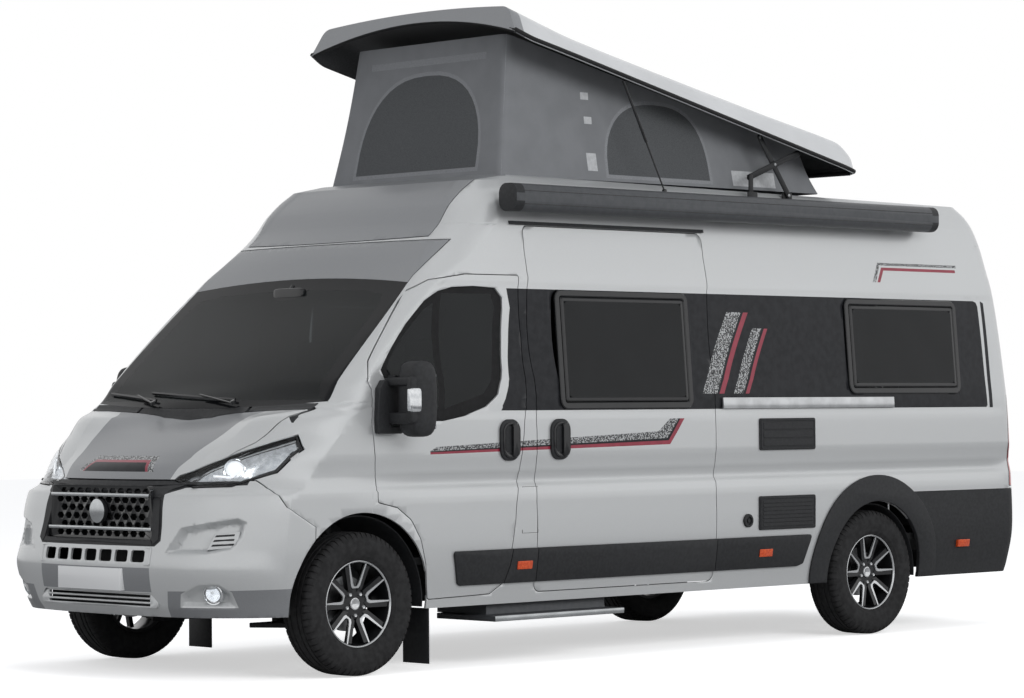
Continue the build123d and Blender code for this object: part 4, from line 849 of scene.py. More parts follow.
# Rim: cast alloy, black, with five pairs of spokes. Their V-shaped edges and the lip are turned bright.
black_alloy = finish("black_cast_alloy", "#1C1D1F", 0.34, ("#1A1B1D", "#202123", 20.0),
                     metallic=0.3, coat=0.4)
turned_alloy, tree, shader = surface("turned_aluminium", "#D6D8DA", 0.22, metallic=0.85)
place = add(tree, "ShaderNodeTexCoord").outputs["Object"]
rings = add(tree, "ShaderNodeTexNoise", {"Vector": place, "Scale": 400.0, "Detail": 1.0})
bump = add(tree, "ShaderNodeBump", {"Height": rings.outputs[0], "Distance": 0.00005, "Strength": 0.3})
tree.links.new(bump.outputs[0], shader.inputs["Normal"])
brake_steel = finish("turned_brake_steel", "#8B8D8F", 0.35, ("#7E8082", "#989A9C", 15.0), metallic=0.9)
RIM_LIP = [(0.085, 0.2200), (0.0865, 0.2170), (0.084, 0.2130), (0.079, 0.2100), (0.060, 0.2070),
           (0.020, 0.1990),
           (-0.050, 0.1960), (-0.080, 0.2030), (-0.083, 0.2200), (-0.060, 0.2200), (0.0, 0.2195),
           (0.060, 0.2200)]


def round_solid(bm, profile, sides, index, closed=True, fill=False):
    """Turns a profile of y and radius round the wheel's axis."""
    rows = []
    for i in range(sides):
        a = 2 * math.pi * i / sides
        rows.append([bm.verts.new((r * math.cos(a), y, r * math.sin(a))) for y, r in profile])
    last = len(profile)
    for i in range(sides):
        a, b = rows[i], rows[(i + 1) % sides]
        for j in range(last if closed else last - 1):
            bm.faces.new((a[j], b[j], b[(j + 1) % last], a[(j + 1) % last])).material_index = index
    if fill:
        for j in (0, last - 1):
            bm.faces.new([row[j] for row in rows]).material_index = index


def spoke(bm, points, back, front, turn, top_index, side_index, dish=0.0):
    """A bar from an outline in the wheel's plane, between two depths. Its outer end is deeper by dish."""
    loops = []
    for depth, shrink in ((back, 1.0), (front - 0.0025, 1.0), (front, 0.0)):
        cx = sum(p[0] for p in points) / len(points)
        cz = sum(p[1] for p in points) / len(points)
        loop = []
        for x, z in points:
            if shrink == 0.0:
                away = Vector((x - cx, z - cz))
                k = 1 - 0.0018 / max(away.length, 1e-6)
                x, z = cx + away.x * k, cz + away.y * k
            reach = math.hypot(x, z)
            y = depth - dish * (reach - 0.06) / 0.14
            loop.append(bm.verts.new((x * math.cos(turn) - z * math.sin(turn), y,
                                      x * math.sin(turn) + z * math.cos(turn))))
        loops.append(loop)
    count = len(points)
    for k, (a, b) in enumerate(zip(loops, loops[1:])):
        for i in range(count):
            face = bm.faces.new((a[i], a[(i + 1) % count], b[(i + 1) % count], b[i]))
            face.material_index = side_index if k == 0 else top_index
    bm.faces.new(loops[-1]).material_index = top_index
    bm.faces.new(list(reversed(loops[0]))).material_index = side_index


def rim_mesh():
    bm = bmesh.new()
    round_solid(bm, RIM_LIP, 96, 0)
    for face in bm.faces:
        c = face.calc_center_median()
        if c.y > 0.0795:
            face.material_index = 1
    round_solid(bm, [(0.020, 0.085), (0.044, 0.082), (0.050, 0.074), (0.050, 0.034), (0.020, 0.034)], 48, 0)
    round_solid(bm, [(0.020, 0.0), (0.050, 0.0), (0.058, 0.026), (0.056, 0.031), (0.046, 0.033),
                     (0.020, 0.033)], 32, 1,
                closed=False)
    round_solid(bm, [(-0.030, 0.060), (-0.030, 0.140), (-0.016, 0.140), (-0.016, 0.060)], 64, 2)
    round_solid(bm, [(-0.030, 0.0), (-0.030, 0.058), (0.022, 0.060), (0.022, 0.0)], 32, 0, closed=False)
    half = math.radians(36)
    for i in range(5):
        turn = math.pi / 2 + i * 2 * math.pi / 5
        for side in (-1, 1):
            inner = (0.058, side * 0.010)
            near = (0.094, side * 0.030)
            far = (0.205 * math.cos(math.radians(17)), side * 0.205 * math.sin(math.radians(17)))
            wide = (0.204 * math.cos(math.radians(24)), side * 0.204 * math.sin(math.radians(24)))
            wing = (0.070, side * 0.046)
            body_points = [inner, near, far, wide, (0.10, side * 0.056), wing]
            spoke(bm, body_points if side > 0 else list(reversed(body_points)), 0.022, 0.052, turn, 0, 0,
                  -0.022)
            edge = [(0.086, side * 0.006), (0.100, side * 0.017), (0.2075, side * 0.0545),
                    (0.2055, side * 0.0615),
                    (0.090, side * 0.030), (0.078, side * 0.020), (0.078, side * 0.006)]
            spoke(bm, edge if side > 0 else list(reversed(edge)), 0.045, 0.0548, turn, 1, 1, -0.022)
        bridge = [(0.078, -0.008), (0.090, -0.008), (0.090, 0.008), (0.078, 0.008)]
        spoke(bm, bridge, 0.045, 0.0548, turn, 1, 1, -0.022)
    for i in range(5):
        a = math.pi / 2 + math.radians(36) + i * 2 * math.pi / 5
        cx, cz = 0.058 * math.cos(a), 0.058 * math.sin(a)
        loops = []
        for y, r in ((0.046, 0.0105), (0.060, 0.0100), (0.062, 0.0085), (0.0605, 0.0050)):
            loops.append([bm.verts.new((cx + r * math.cos(math.pi * k / 3), y,
                                        cz + r * math.sin(math.pi * k / 3)))
                          for k in range(6)])
        for u, v in zip(loops, loops[1:]):
            for k in range(6):
                bm.faces.new((u[k], u[(k + 1) % 6], v[(k + 1) % 6], v[k])).material_index = 1
        bm.faces.new(loops[-1]).material_index = 1
    bmesh.ops.recalc_face_normals(bm, faces=bm.faces)
    mesh = bpy.data.meshes.new("rim")
    bm.to_mesh(mesh)
    bm.free()
    return mesh


one_tyre, one_rim = tyre_mesh(), rim_mesh()
for place_name in ("front", "rear"):
    for side, sign in (("left", 1), ("right", -1)):
        low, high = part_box(f"tyre_{place_name}_{side}")
        middle = (low + high) / 2
        for kind, shape, finishes in (("tyre", one_tyre, [tyre_rubber]),
                                      ("rim", one_rim, [black_alloy, turned_alloy, brake_steel])):
            mesh = shape.copy()
            if sign < 0:
                mesh.transform(Matrix.Rotation(math.pi, 4, "Z"))
            mesh.transform(Matrix.Translation(middle))
            new_piece(f"{kind}_{place_name}_{side}_wheel", creased(mesh, 30), f"{kind}_{place_name}_{side}",
                      materials=finishes)

# Headlamps: a clear polycarbonate lens over a chromed reflector and a lit projector, in a black housing.
lens = finish("clear_polycarbonate", "#F4F6F8", 0.0, ("#F2F4F6", "#F7F9FB", 300.0), clear=1.0, ior=1.25)
reflector = finish("vacuum_chromed_reflector", "#D9DCDF", 0.12, ("#CDD0D3", "#E6E8EA", 25.0), metallic=1.0)
lit_lens, tree, shader = surface("lit_lamp_lens", "#F4F5F6", 0.2)
shader.inputs["Emission Color"].default_value = (1, 1, 1, 1)
shader.inputs["Emission Strength"].default_value = 0.35

# Cab door glass: the pane sits in a thick black rubber channel, with a divider behind the front quarter.
channel_rubber = finish("black_glazing_rubber", "#1C1C1D", 0.65, ("#19191A", "#202021", 25.0), ior=1.3)
REAR_PANE = [(1.613, 1.946), (1.262, 1.950), (1.234, 1.880), (1.256, 1.694), (1.290, 1.546), (1.330, 1.470),
             (1.380, 1.425), (1.665, 1.345)]
FRONT_PANE = [(1.705, 1.345), (1.668, 1.895), (1.735, 1.858), (1.862, 1.738), (2.000, 1.598), (2.035, 1.550),
              (2.000, 1.445), (1.850, 1.375)]
for side in ("left", "right"):
    skin(f"cab_glass_{side}", f"cab_door_pane_{side}", [channel_rubber, side_glass, side_glass], inset=0.014,
         thick=0.004,
         reach=0.003, relief=False, chamfer=False, marks=[(REAR_PANE, 1, side_view),
                                                          (FRONT_PANE, 1, side_view)])


def across(outline):
    """The outline on the other side of the centre line."""
    return [(-u, v) for u, v in outline]


def on_front(y, z, out, sign=1):
    """A point on the smooth nose at the given y and height, moved outwards. A sign of -1 mirrors it."""
    y *= sign
    nose = slice(0, 51)
    line = hull_at(np.array([z]), True)[0][nose]
    above = hull_at(np.array([z + 0.005]), True)[0][nose]
    x = float(np.interp(abs(y), line[:, 1], line[:, 0]))
    run = (float(np.interp(abs(y) + 0.005, line[:, 1], line[:, 0])) - x) / 0.005
    rise = (float(np.interp(abs(y), above[:, 1], above[:, 0])) - x) / 0.005
    hand = -1 if y < 0 else 1
    return Vector((x, y, z)) + Vector((1, -run * hand, -rise)).normalized() * out


def painted(bm, index):
    for face in bm.faces:
        face.material_index = index
    return bm


def facing(direction, place):
    """Turns a shape made round the y axis so that it points along the direction, and moves it to a place."""
    turn = Vector((0, 1, 0)).rotation_difference(Vector(direction).normalized())
    return Matrix.Translation(Vector(place)) @ turn.to_matrix().to_4x4()


def turned(profile, sides, direction, place, index=0, closed=False):
    """A shape turned from a profile of distance along its axis and radius."""
    bm = bmesh.new()
    round_solid(bm, profile, sides, index, closed=closed)
    bmesh.ops.remove_doubles(bm, verts=bm.verts, dist=1e-6)
    bm.transform(facing(direction, place))
    bmesh.ops.recalc_face_normals(bm, faces=bm.faces)
    return bm


def rod(points, radius, sides=10, index=0, flat=1.0):
    """A bar of round or flattened section along points, with closed ends."""
    bm = bmesh.new()
    points = [Vector(p) for p in points]
    rings = []
    for i, p in enumerate(points):
        along = (points[min(i + 1, len(points) - 1)] - points[max(i - 1, 0)]).normalized()
        across_it = along.cross(Vector((0, 0, 1)) if abs(along.z) < 0.9 else Vector((1, 0, 0))).normalized()
        other = across_it.cross(along)
        turns = [2 * math.pi * k / sides for k in range(sides)]
        rings.append([bm.verts.new(p + across_it * (radius * math.cos(a)) + other * (radius * flat * math.sin(a)))
                      for a in turns])
    for a, b in zip(rings, rings[1:]):
        for k in range(sides):
            bm.faces.new((a[k], a[(k + 1) % sides], b[(k + 1) % sides], b[k]))
    bm.faces.new(rings[0])
    bm.faces.new(list(reversed(rings[-1])))
    bmesh.ops.recalc_face_normals(bm, faces=bm.faces)
    return painted(bm, index)


def soft_block(centre, size, power=6.0, cuts=8, index=0, shape=None, tilt=0.0):
    """A block with soft corners. A higher power is squarer, and shape moves points given from -1 to 1."""
    bm = bmesh.new()
    found = {}
    turn = Matrix.Rotation(tilt, 3, "Y")
    ticks = [math.sin(math.pi * (i / cuts - 0.5)) for i in range(cuts + 1)]

    def corner(p):
        key = tuple(round(c, 6) for c in p)
        if key not in found:
            v = Vector(p)
            v /= sum(abs(c) ** power for c in v) ** (1 / power)
            v = shape(v) if shape else v
            v = turn @ Vector((v.x * size[0] / 2, v.y * size[1] / 2, v.z * size[2] / 2))
            found[key] = bm.verts.new(v + Vector(centre))
        return found[key]

    for axis in range(3):
        for end in (-1, 1):
            for a, b in zip(ticks, ticks[1:]):
                for c, d in zip(ticks, ticks[1:]):
                    quad = []
                    for u, v in ((a, c), (b, c), (b, d), (a, d)):
                        p = [u, v]
                        p.insert(axis, end)
                        quad.append(corner(p))
                    bm.faces.new(quad)
    bmesh.ops.recalc_face_normals(bm, faces=bm.faces)
    return painted(bm, index)


# Front bumper: painted plastic cover. It carries the black grille surround, the plain plate panel, a recess
# with a duct vent on each side, and a coved recess for each fog lamp. All outlines are y and z.
SURROUND = [(-0.47, 0.672), (0.47, 0.672), (0.505, 0.70), (0.478, 0.93), (0.56, 0.962), (0.86, 0.975),
            (0.86, 1.01),
            (-0.86, 1.01), (-0.86, 0.975), (-0.56, 0.962), (-0.478, 0.93), (-0.505, 0.70)]
PLATE_PANEL = [(-0.450, 0.444), (0.450, 0.444), (0.450, 0.565), (-0.450, 0.565)]
LOWER_BAND = [(0.520, 0.300), (1.040, 0.300), (1.040, 0.462), (0.560, 0.452)]
DUCT = [(0.535, 0.628), (0.620, 0.765), (0.890, 0.815), (0.925, 0.795), (0.915, 0.720), (0.880, 0.660),
        (0.780, 0.636)]
COVE = [(0.620, 0.372), (0.640, 0.440), (0.740, 0.488), (0.830, 0.490), (0.868, 0.450), (0.870, 0.372)]
bumper_marks = [(SURROUND, 1, front_view), (PLATE_PANEL, 2, front_view)]
for outline, index in ((LOWER_BAND, 2), (DUCT, 0), (COVE, 0)):
    bumper_marks += [(outline, index, front_view), (across(outline), index, front_view)]
bumper_dents = [(DUCT, 0.042), (across(DUCT), 0.042), (COVE, 0.034), (across(COVE), 0.034)]
# The plate panel and the lower bands take the darker grey of painted shade.
skin("front_bumper", "front_bumper_cover", [silver_paint, black_plastic, front_shade_grey, lining], step=0.02,
     relief=False,
     marks=bumper_marks, dents=bumper_dents)

chrome = finish("chromed_plastic", "#D8DADC", 0.08, ("#CFD2D4", "#E2E4E6", 40.0), metallic=1.0)
VENT = [(0.770, 0.660), (0.800, 0.738), (0.903, 0.750), (0.898, 0.700), (0.872, 0.668)]
duct_shapes, fog_shapes = [], []
for sign in (1, -1):
    place = partial(on_front, sign=sign)
    duct_shapes.append(painted(plate(VENT, -0.055, -0.014, place), 0))
    for i in range(3):
        z = 0.683 + i * 0.023
        slot = [(0.790 + i * 0.006, z - 0.006), (0.882, z - 0.001), (0.884, z + 0.009),
                (0.796 + i * 0.006, z + 0.004)]
        duct_shapes.append(painted(plate(slot, -0.015, -0.0125, place, edge=0.001), 1))
    centre = on_front(0.792 * sign, 0.430, -0.034)
    outward = (on_front(0.792 * sign, 0.430, 0.0) - centre).normalized() + Vector((0.5, 0, 0))
    ring = [(-0.006, 0.056), (0.018, 0.055), (0.022, 0.051), (0.020, 0.046), (0.004, 0.043), (-0.006, 0.043)]
    fog_shapes.append(turned(ring, 40, outward, centre, 0, closed=True))
    fog_shapes.append(turned([(0.002, 0.0), (0.004, 0.012), (0.010, 0.034), (0.012, 0.044)], 40, outward,
                             centre, 1))
    fog_shapes.append(turned([(0.022, 0.0), (0.020, 0.018), (0.014, 0.036), (0.010, 0.044), (0.008, 0.044),
                              (0.012, 0.034), (0.017, 0.017), (0.019, 0.0)], 40, outward, centre, 2))
added("bumper_duct_vents", duct_shapes, "front_bumper", [silver_paint, black_plastic])
added("fog_lamps", fog_shapes, "headlamps", [chrome, reflector, lens])

# Grille surround: the black moulding above the honeycomb, and the silver ledge round the seven slots below.
HOOD = [(-0.455, 0.912), (0.455, 0.912), (0.500, 0.952), (0.550, 0.972), (0.820, 0.982), (0.820, 0.992),
        (-0.820, 0.992), (-0.820, 0.982), (-0.550, 0.972), (-0.500, 0.952)]
surround_shapes = [plate(HOOD, -0.020, 0.006, on_front, edge=0.004)]
for sign in (1, -1):
    cheek = [(0.408, 0.905), (0.462, 0.905), (0.492, 0.705), (0.462, 0.680), (0.446, 0.700)]
    surround_shapes.append(plate([(y * sign, z) for y, z in cheek], -0.015, 0.005, on_front, edge=0.004))
foot = [(-0.455, 0.678), (0.455, 0.678), (0.440, 0.702), (-0.440, 0.702)]
surround_shapes.append(plate(foot, -0.02, 0.005, on_front))
added("grille_surround", surround_shapes, "grille", [black_plastic])
LEDGE = rounded_box(-0.455, 0.455, 0.575, 0.669, 0.012)
ledge_profile = [(0.0, -0.002), (0.0, 0.003), (0.003, 0.005), (0.008, 0.005), (0.011, 0.001), (0.011, -0.002)]
added("slot_panel_ledge", [moulding(LEDGE, ledge_profile, on_front)], "front_bumper", [silver_paint])

# Headlamps: each lens has a black printed edge. Behind it stand a chromed bowl, a lit projector and an
# indicator strip.
skin("headlamps", "headlamp_lenses", [lens, gloss_plastic, lens], thick=0.003, step=0.03, relief=False,
     chamfer=False,
     border=(1, 0.006))
skin("headlamps", "headlamp_bowls", [reflector, gloss_plastic, gloss_plastic], thick=0.003, step=0.03,
     relief=False,
     chamfer=False, border=(1, 0.014), sink=0.038, stands_in=False)
lamp_shapes = []
for sign in (1, -1):
    for x, y, z, r in ((2.835, 0.745, 1.045, 0.050), (2.700, 0.835, 1.085, 0.044),
                       (2.580, 0.890, 1.128, 0.030)):
        centre = Vector((x, y * sign, z))
        outward = Vector((0.80, 0.50 * sign, 0.12))
        bezel = [(-0.020, r + 0.010), (0.004, r + 0.010), (0.008, r + 0.006), (0.004, r), (-0.020, r)]
        lamp_shapes.append(turned(bezel, 36, outward, centre, 0, closed=True))
        eye = [(0.014, 0.0), (0.011, 0.5 * r), (0.003, 0.85 * r), (-0.006, r), (-0.016, r), (-0.016, 0.0)]
        lamp_shapes.append(turned(eye, 36, outward, centre, 1))
    strip = [(2.905, 0.665, 1.018), (2.860, 0.735, 1.012), (2.790, 0.800, 1.018), (2.700, 0.860, 1.040)]
    lamp_shapes.append(rod([(x, y * sign, z) for x, y, z in strip], 0.007, index=1))
added("headlamp_projectors", lamp_shapes, "headlamps", [reflector, lit_lens])

# Wipers: pressed steel arms on the scuttle with rubber blades, parked along the foot of the windscreen.
wiper_shapes = []
for pivot, tip in ((0.330, -0.420), (-0.330, -0.830)):
    start = on_front(pivot, 1.368, 0.020)
    elbow = on_front(pivot * 0.6 + tip * 0.4, 1.408, 0.030)
    wiper_shapes.append(rod([start, elbow], 0.008, flat=0.6))
    wiper_shapes.append(turned([(0.0, 0.016), (0.014, 0.015), (0.018, 0.010), (0.018, 0.0)], 20, (0.5, 0, 1),
                               start))
    blade = [on_front(pivot - 0.02 + (tip - pivot) * k / 10, 1.392 + 0.040 * k / 10,
                      0.012) for k in range(11)]
    wiper_shapes.append(rod(blade, 0.007, sides=6, flat=1.4))
added("windscreen_wipers", wiper_shapes, "cowl", [gloss_plastic])

# Cab mirrors: grained plastic. A foot on the door holds a head by two arms, with an indicator and glass.
mirror_glass = finish("silvered_mirror_glass", "#C9CDD0", 0.03, ("#C4C8CB", "#CED2D5", 200.0), metallic=1.0)
for side, sign in (("left", 1), ("right", -1)):
    head_y = 1.172 * sign
    shapes = [soft_block((1.990, head_y, 1.398), (0.170, 0.158, 0.386), power=4.0, cuts=14)]
    for z, tall in ((1.486, 0.044), (1.300, 0.060)):
        shapes.append(soft_block((2.060, 1.128 * sign, z), (0.060, 0.220, tall), power=5.0, cuts=8))
    shapes.append(soft_block((2.068, 1.222 * sign, 1.392), (0.056, 0.042, 0.236), power=5.0, cuts=8))
    shapes.append(soft_block((2.062, 1.228 * sign, 1.392), (0.072, 0.044, 0.124), power=8.0, cuts=8, index=1))
    shapes.append(soft_block((1.910, head_y, 1.425), (0.010, 0.104, 0.220), power=8.0, cuts=6, index=2))
    shapes.append(soft_block((1.910, head_y, 1.270), (0.010, 0.100, 0.056), power=8.0, cuts=6, index=2))
    added(f"mirror_head_{side}", shapes, f"mirror_{side}", [black_plastic, reflector, mirror_glass], 50)
    dressed(f"mirror_{side}", f"mirror_foot_{side}", [black_plastic], width=0.010, segments=3,
            keep=lambda c: abs(c.y) < 1.0625)

# Door handles: a grip across an open cup in each oval plate, with a lock below it.
CUP = [(0.0, 0.013), (0.002, 0.019), (0.009, 0.021), (0.018, 0.018), (0.022, 0.013)]
for node, x, sign in (("door_trim_left", 1.2105, 1), ("door_trim_right", 1.2105, -1),
                      ("side_trim", 0.8365, 1)):
    place = partial(on_side, sign=sign)
    cup = moulding(rounded_box(x - 0.058, x + 0.058, 1.086, 1.274, 0.052), CUP, place)
    grip = plate(rounded_box(x - 0.048, x - 0.004, 1.090, 1.270, 0.020), 0.013, 0.030, place, edge=0.006)
    lock = plate(rounded_box(x + 0.010, x + 0.030, 1.098, 1.118, 0.009), 0.013, 0.017, place, edge=0.002)
    added(f"handle_{node}", [cup, grip, lock], node, [gloss_plastic])

# Fridge vents and the heater's flue: grey-black moulded grilles on the left side, held by turn catches.
vent_shapes = []
VENT_RIM = [(0.0, 0.010), (0.001, 0.014), (0.008, 0.014), (0.011, 0.010)]
for x0, x1, z0, z1, rows in ((-1.2425, -0.7625, 1.098, 1.279, 3), (-1.2395, -0.7545, 0.645, 0.837, 7)):
    vent_shapes.append(plate(rounded_box(x0, x1, z0, z1, 0.012), 0.0, 0.011, on_side))
    vent_shapes.append(moulding(rounded_box(x0 + 0.006, x1 - 0.006, z0 + 0.006, z1 - 0.006, 0.010), VENT_RIM))
    pitch = (z1 - z0 - 0.040) / rows
    for i in range(rows):
        z = z0 + 0.020 + pitch * (i + 0.5)
        slat = rounded_box(x0 + 0.024, x1 - 0.024, z - pitch * 0.40, z + pitch * 0.40, 0.004, steps=2)
        vent_shapes.append(plate(slat, 0.010, 0.0145, on_side, edge=0.0035))
flue = on_side(-0.6605, 0.702, 0.0)
vent_shapes.append(turned([(0.0, 0.038), (0.010, 0.038), (0.014, 0.034), (0.014, 0.024), (0.004, 0.022),
                           (0.004, 0.0)],
                          40, (0, 1, 0), flue))
vent_shapes.append(turned([(0.004, 0.0), (0.012, 0.0), (0.012, 0.010), (0.004, 0.012)], 24, (0, 1, 0), flue))
new_piece("fridge_vent_grilles", creased(joined(vent_shapes, "fridge_vent_grilles")), "fridge_vents",
          materials=[black_plastic])

# Fuel flap: a fine dark gap round it.
flap = moulding([(1.110, 0.934), (0.997, 0.934), (1.001, 0.687), (1.120, 0.687)],
                [(0.0, 0.0002), (0.0, 0.0008), (0.004, 0.0008), (0.004, 0.0002)])
added("fuel_flap_gap", [flap], "side_trim", [gloss_plastic], degrees=None)

# Tail lamps and markers: red and amber acrylic over a bright inner face.
red_lens = finish("red_lamp_lens", "#A3101C", 0.10, ("#960D18", "#B01521", 14.0, 3.0, 0.3, 0.7), coat=0.6)
amber_lens = finish("amber_lamp_lens", "#C8491C", 0.12, ("#BC4018", "#D65624", 10.0), coat=0.6)
skin("signal_lamps", "tail_lamps", [red_lens, gloss_plastic, gloss_plastic], relief=False, border=(1, 0.006),
     step=0.03)
dressed("signal_lamps", "side_markers", [amber_lens], width=0.006, segments=3, keep=lambda c: c.z < 0.60,
        stands_in=False)

# Rear windows: dark acrylic in a black seal.
for side in ("left", "right"):
    skin(f"rear_glass_{side}", f"rear_window_{side}", [acrylic, gloss_plastic, gloss_plastic], thick=0.006,
         relief=False, border=(1, 0.022), chamfer=False)

# Awning case: extruded and powder-coated, with moulded end caps and a seam along the front board.
awning_coat = finish("anthracite_powder_coat", "#4A4C4F", 0.45, ("#47494C", "#4E5053", 30.0),
                     grained=(1.0, 0.03), metallic=0.3)
low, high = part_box("awning_case")
dressed("awning_case", "awning_case_body", [awning_coat, black_plastic], width=0.004,
        choose=lambda f: 1 if not low.x + 0.060 < f.calc_center_median().x < high.x - 0.060 else 0)
seams = [block((low.x + 0.062, high.y - 0.030, z), (high.x - 0.062, high.y + 0.0008, z + 0.003))
         for z in (2.4250, 2.4960)]
added("awning_seams", seams, "awning_case", [gloss_plastic], degrees=None)

# Radiator: a finned core behind the grille and the lower slots, held between the body's front panels.
fins, tree, shader = surface("radiator_fins", "#17181A", 0.6, metallic=0.3)
place = add(tree, "ShaderNodeTexCoord").outputs["Object"]
rows = add(tree, "ShaderNodeTexWave", {"Vector": place, "Scale": 60.0}, bands_direction="Z")
two_shades(tree, shader, rows.outputs["Fac"], 0.3, 0.7, "#101112", "#232426")
core = block((2.930, -0.610, 0.345), (2.960, 0.610, 0.985))
added("radiator_core", [core], "engine", [fins], degrees=None)

# Entrance step: grey extruded tread with a bright nosing, folded out under the sliding door.
dressed("entrance_step", "folding_step", [awning_coat, bright_bar], width=0.003,
        choose=lambda f: 1 if f.calc_center_median().y > 1.045 else 0)

# Pop-top lid: glass-fibre moulding with soft shoulders, a thick rubber lip and a visor at the front, grey as
# painted shade.
# Its sections repeat the part's table, in the lid's own frame: x, half width at the lip, lip height at the side
# and on the centre line, half width at the shoulder, shoulder height, crown height.
LID = [(-0.868, 0.790, 0.010, 0.011, 0.770, 0.050, 0.062), (-0.800, 0.874, 0.0, 0.001, 0.815, 0.122, 0.142),
       (-0.673, 0.884, 0.0, 0.001, 0.812, 0.165, 0.190), (0.0, 0.884, 0.0, 0.001, 0.806, 0.148, 0.188),
       (1.500, 0.880, 0.0, 0.001, 0.790, 0.128, 0.190), (1.900, 0.870, 0.0, 0.060, 0.780, 0.150, 0.198),
       (2.036, 0.840, 0.022, 0.140, 0.752, 0.170, 0.202)]
lid_pin = Vector((-1.0253, 0, 2.9052))
lid_tilt = math.radians(12.6)
lid_matrix = Matrix.Translation(lid_pin) @ Matrix.Rotation(-lid_tilt, 4, "Y")


def flow(table, at):
    """A table's columns between its rows, along curves that never overshoot. The first column is the place."""
    rows = np.array(table, float)
    x, v = rows[:, 0], rows[:, 1:]
    h = np.diff(x)[:, None]
    rise = np.diff(v, axis=0) / h
    slopes = np.zeros_like(v)
    slopes[0], slopes[-1] = rise[0], rise[-1]
    same = rise[:-1] * rise[1:] > 0
    slopes[1:-1] = np.where(same, 2 * rise[:-1] * rise[1:] / np.where(same, rise[:-1] + rise[1:], 1), 0)
    k = np.clip(np.searchsorted(x, at, side="right") - 1, 0, len(x) - 2)
    t = ((at - x[k]) / (x[k + 1] - x[k]))[:, None]
    return (v[k] * (2 * t ** 3 - 3 * t ** 2 + 1) + v[k + 1] * (3 * t ** 2 - 2 * t ** 3)
            + slopes[k] * h[k] * (t ** 3 - 2 * t ** 2 + t) + slopes[k + 1] * h[k] * (t ** 3 - t ** 2))


def lid_half(row):
    """The left half of one section, from the lip over the shoulder to the crown, as y and z."""
    lip, lip_z, _, top, top_z, crown = row
    low, knee = Vector((lip, lip_z)), Vector((top, top_z))
    soft = min(0.045, (knee - low).length * 0.45)
    points = [low.lerp(knee, t) for t in (0.0, 0.04, 0.30, 0.62)]
    start = knee + (low - knee).normalized() * soft
    inner_y = top - soft
    end = Vector((inner_y, crown - (crown - top_z) * (inner_y / top) ** 2))
    for t in np.linspace(0, 1, 7):
        points.append(start * (1 - t) ** 2 + knee * 2 * t * (1 - t) + end * t ** 2)
    for t in np.linspace(0.92, 0.0, 12):
        y = inner_y * t
        points.append(Vector((y, crown - (crown - top_z) * (y / top) ** 2)))
    return points


lid_stops = np.concatenate([np.linspace(-0.868, -0.640, 12), np.linspace(-0.55, 1.45, 26),
                            np.linspace(1.50, 2.036, 18)])
lid_rows = flow(LID, lid_stops)
bm = bmesh.new()
rings, lip_line = [], []
for x, row in zip(lid_stops, lid_rows):
    half = lid_half(row)
    line = [(p.x, p.y) for p in half] + [(-p.x, p.y) for p in reversed(half[:-1])]
    rings.append([bm.verts.new((x, y, z)) for y, z in line])
    lip_line.append((x, half[0].x, half[0].y))
for a, b in zip(rings, rings[1:]):
    for i in range(len(a) - 1):
        bm.faces.new((a[i], a[i + 1], b[i + 1], b[i]))
front_row, rear_row = lid_rows[-1], lid_rows[0]
# The front end face takes the darker grey of painted shade.
for ring, row, x in ((rings[-1], front_row, lid_stops[-1]), (rings[0], rear_row, lid_stops[0])):
    lower = []
    for vert in ring:
        share = 1 - (vert.co.y / row[0]) ** 2
        z = row[1] + (row[2] - row[1]) * max(share, 0)
        lower.append(bm.verts.new((x + (0.004 if x > 0 else 0), vert.co.y, min(z, vert.co.z - 1e-4))))
    for i in range(len(ring) - 1):
        face = bm.faces.new((ring[i], ring[i + 1], lower[i + 1], lower[i]))
        face.material_index = 1 if x > 0 else 0
bmesh.ops.remove_doubles(bm, verts=bm.verts, dist=2e-4)
bmesh.ops.recalc_face_normals(bm, faces=bm.faces)
# The low front edge takes the same painted shade.
for face in bm.faces:
    c = face.calc_center_median()
    if c.x > 1.985 and c.z < 0.178:
        face.material_index = 1
if sum(f.normal.z for f in bm.faces) < 0:
    bmesh.ops.reverse_faces(bm, faces=bm.faces)
bm.transform(lid_matrix)
mesh = bpy.data.meshes.new("lid_shell")
bm.to_mesh(mesh)
bm.free()
gelcoat = finish("silver_gelcoat", "#C6C8CA", 0.30, ("#C1C3C5", "#CBCDCF", 400.0), metallic=0.25, coat=0.4)
for material in (gelcoat, front_shade_grey, lining):
    mesh.materials.append(material)
lid_mesh = baked("lid_shell", mesh, [("SOLIDIFY", {"thickness": 0.010, "offset": -1, "material_offset": 2}),
                                     ("BEVEL", CHAMFER)])
new_piece("lid_shell", creased(lid_mesh, 40), "pop_top_lid")

seal_rubber = finish("black_seal_rubber", "#1B1B1C", 0.7, ("#181819", "#202021", 25.0))
lip_shapes = []
for sign in (1, -1):
    line = [lid_matrix @ Vector((x, (y - 0.004) * sign, z + 0.010)) for x, y, z in lip_line]
    lip_shapes.append(rod(line, 0.012, sides=10))
for x, row, sign in ((lid_stops[-1], front_row, 1), (lid_stops[0], rear_row, -1)):
    curve = []
    for y in np.linspace(-row[0], row[0], 25):
        z = row[1] + (row[2] - row[1]) * (1 - (y / row[0]) ** 2)
        curve.append(lid_matrix @ Vector((x - 0.010 * sign, y, z + 0.006)))
    lip_shapes.append(rod(curve, 0.014, sides=10))
added("lid_lip_seal", lip_shapes, "pop_top_lid", [seal_rubber], 50)

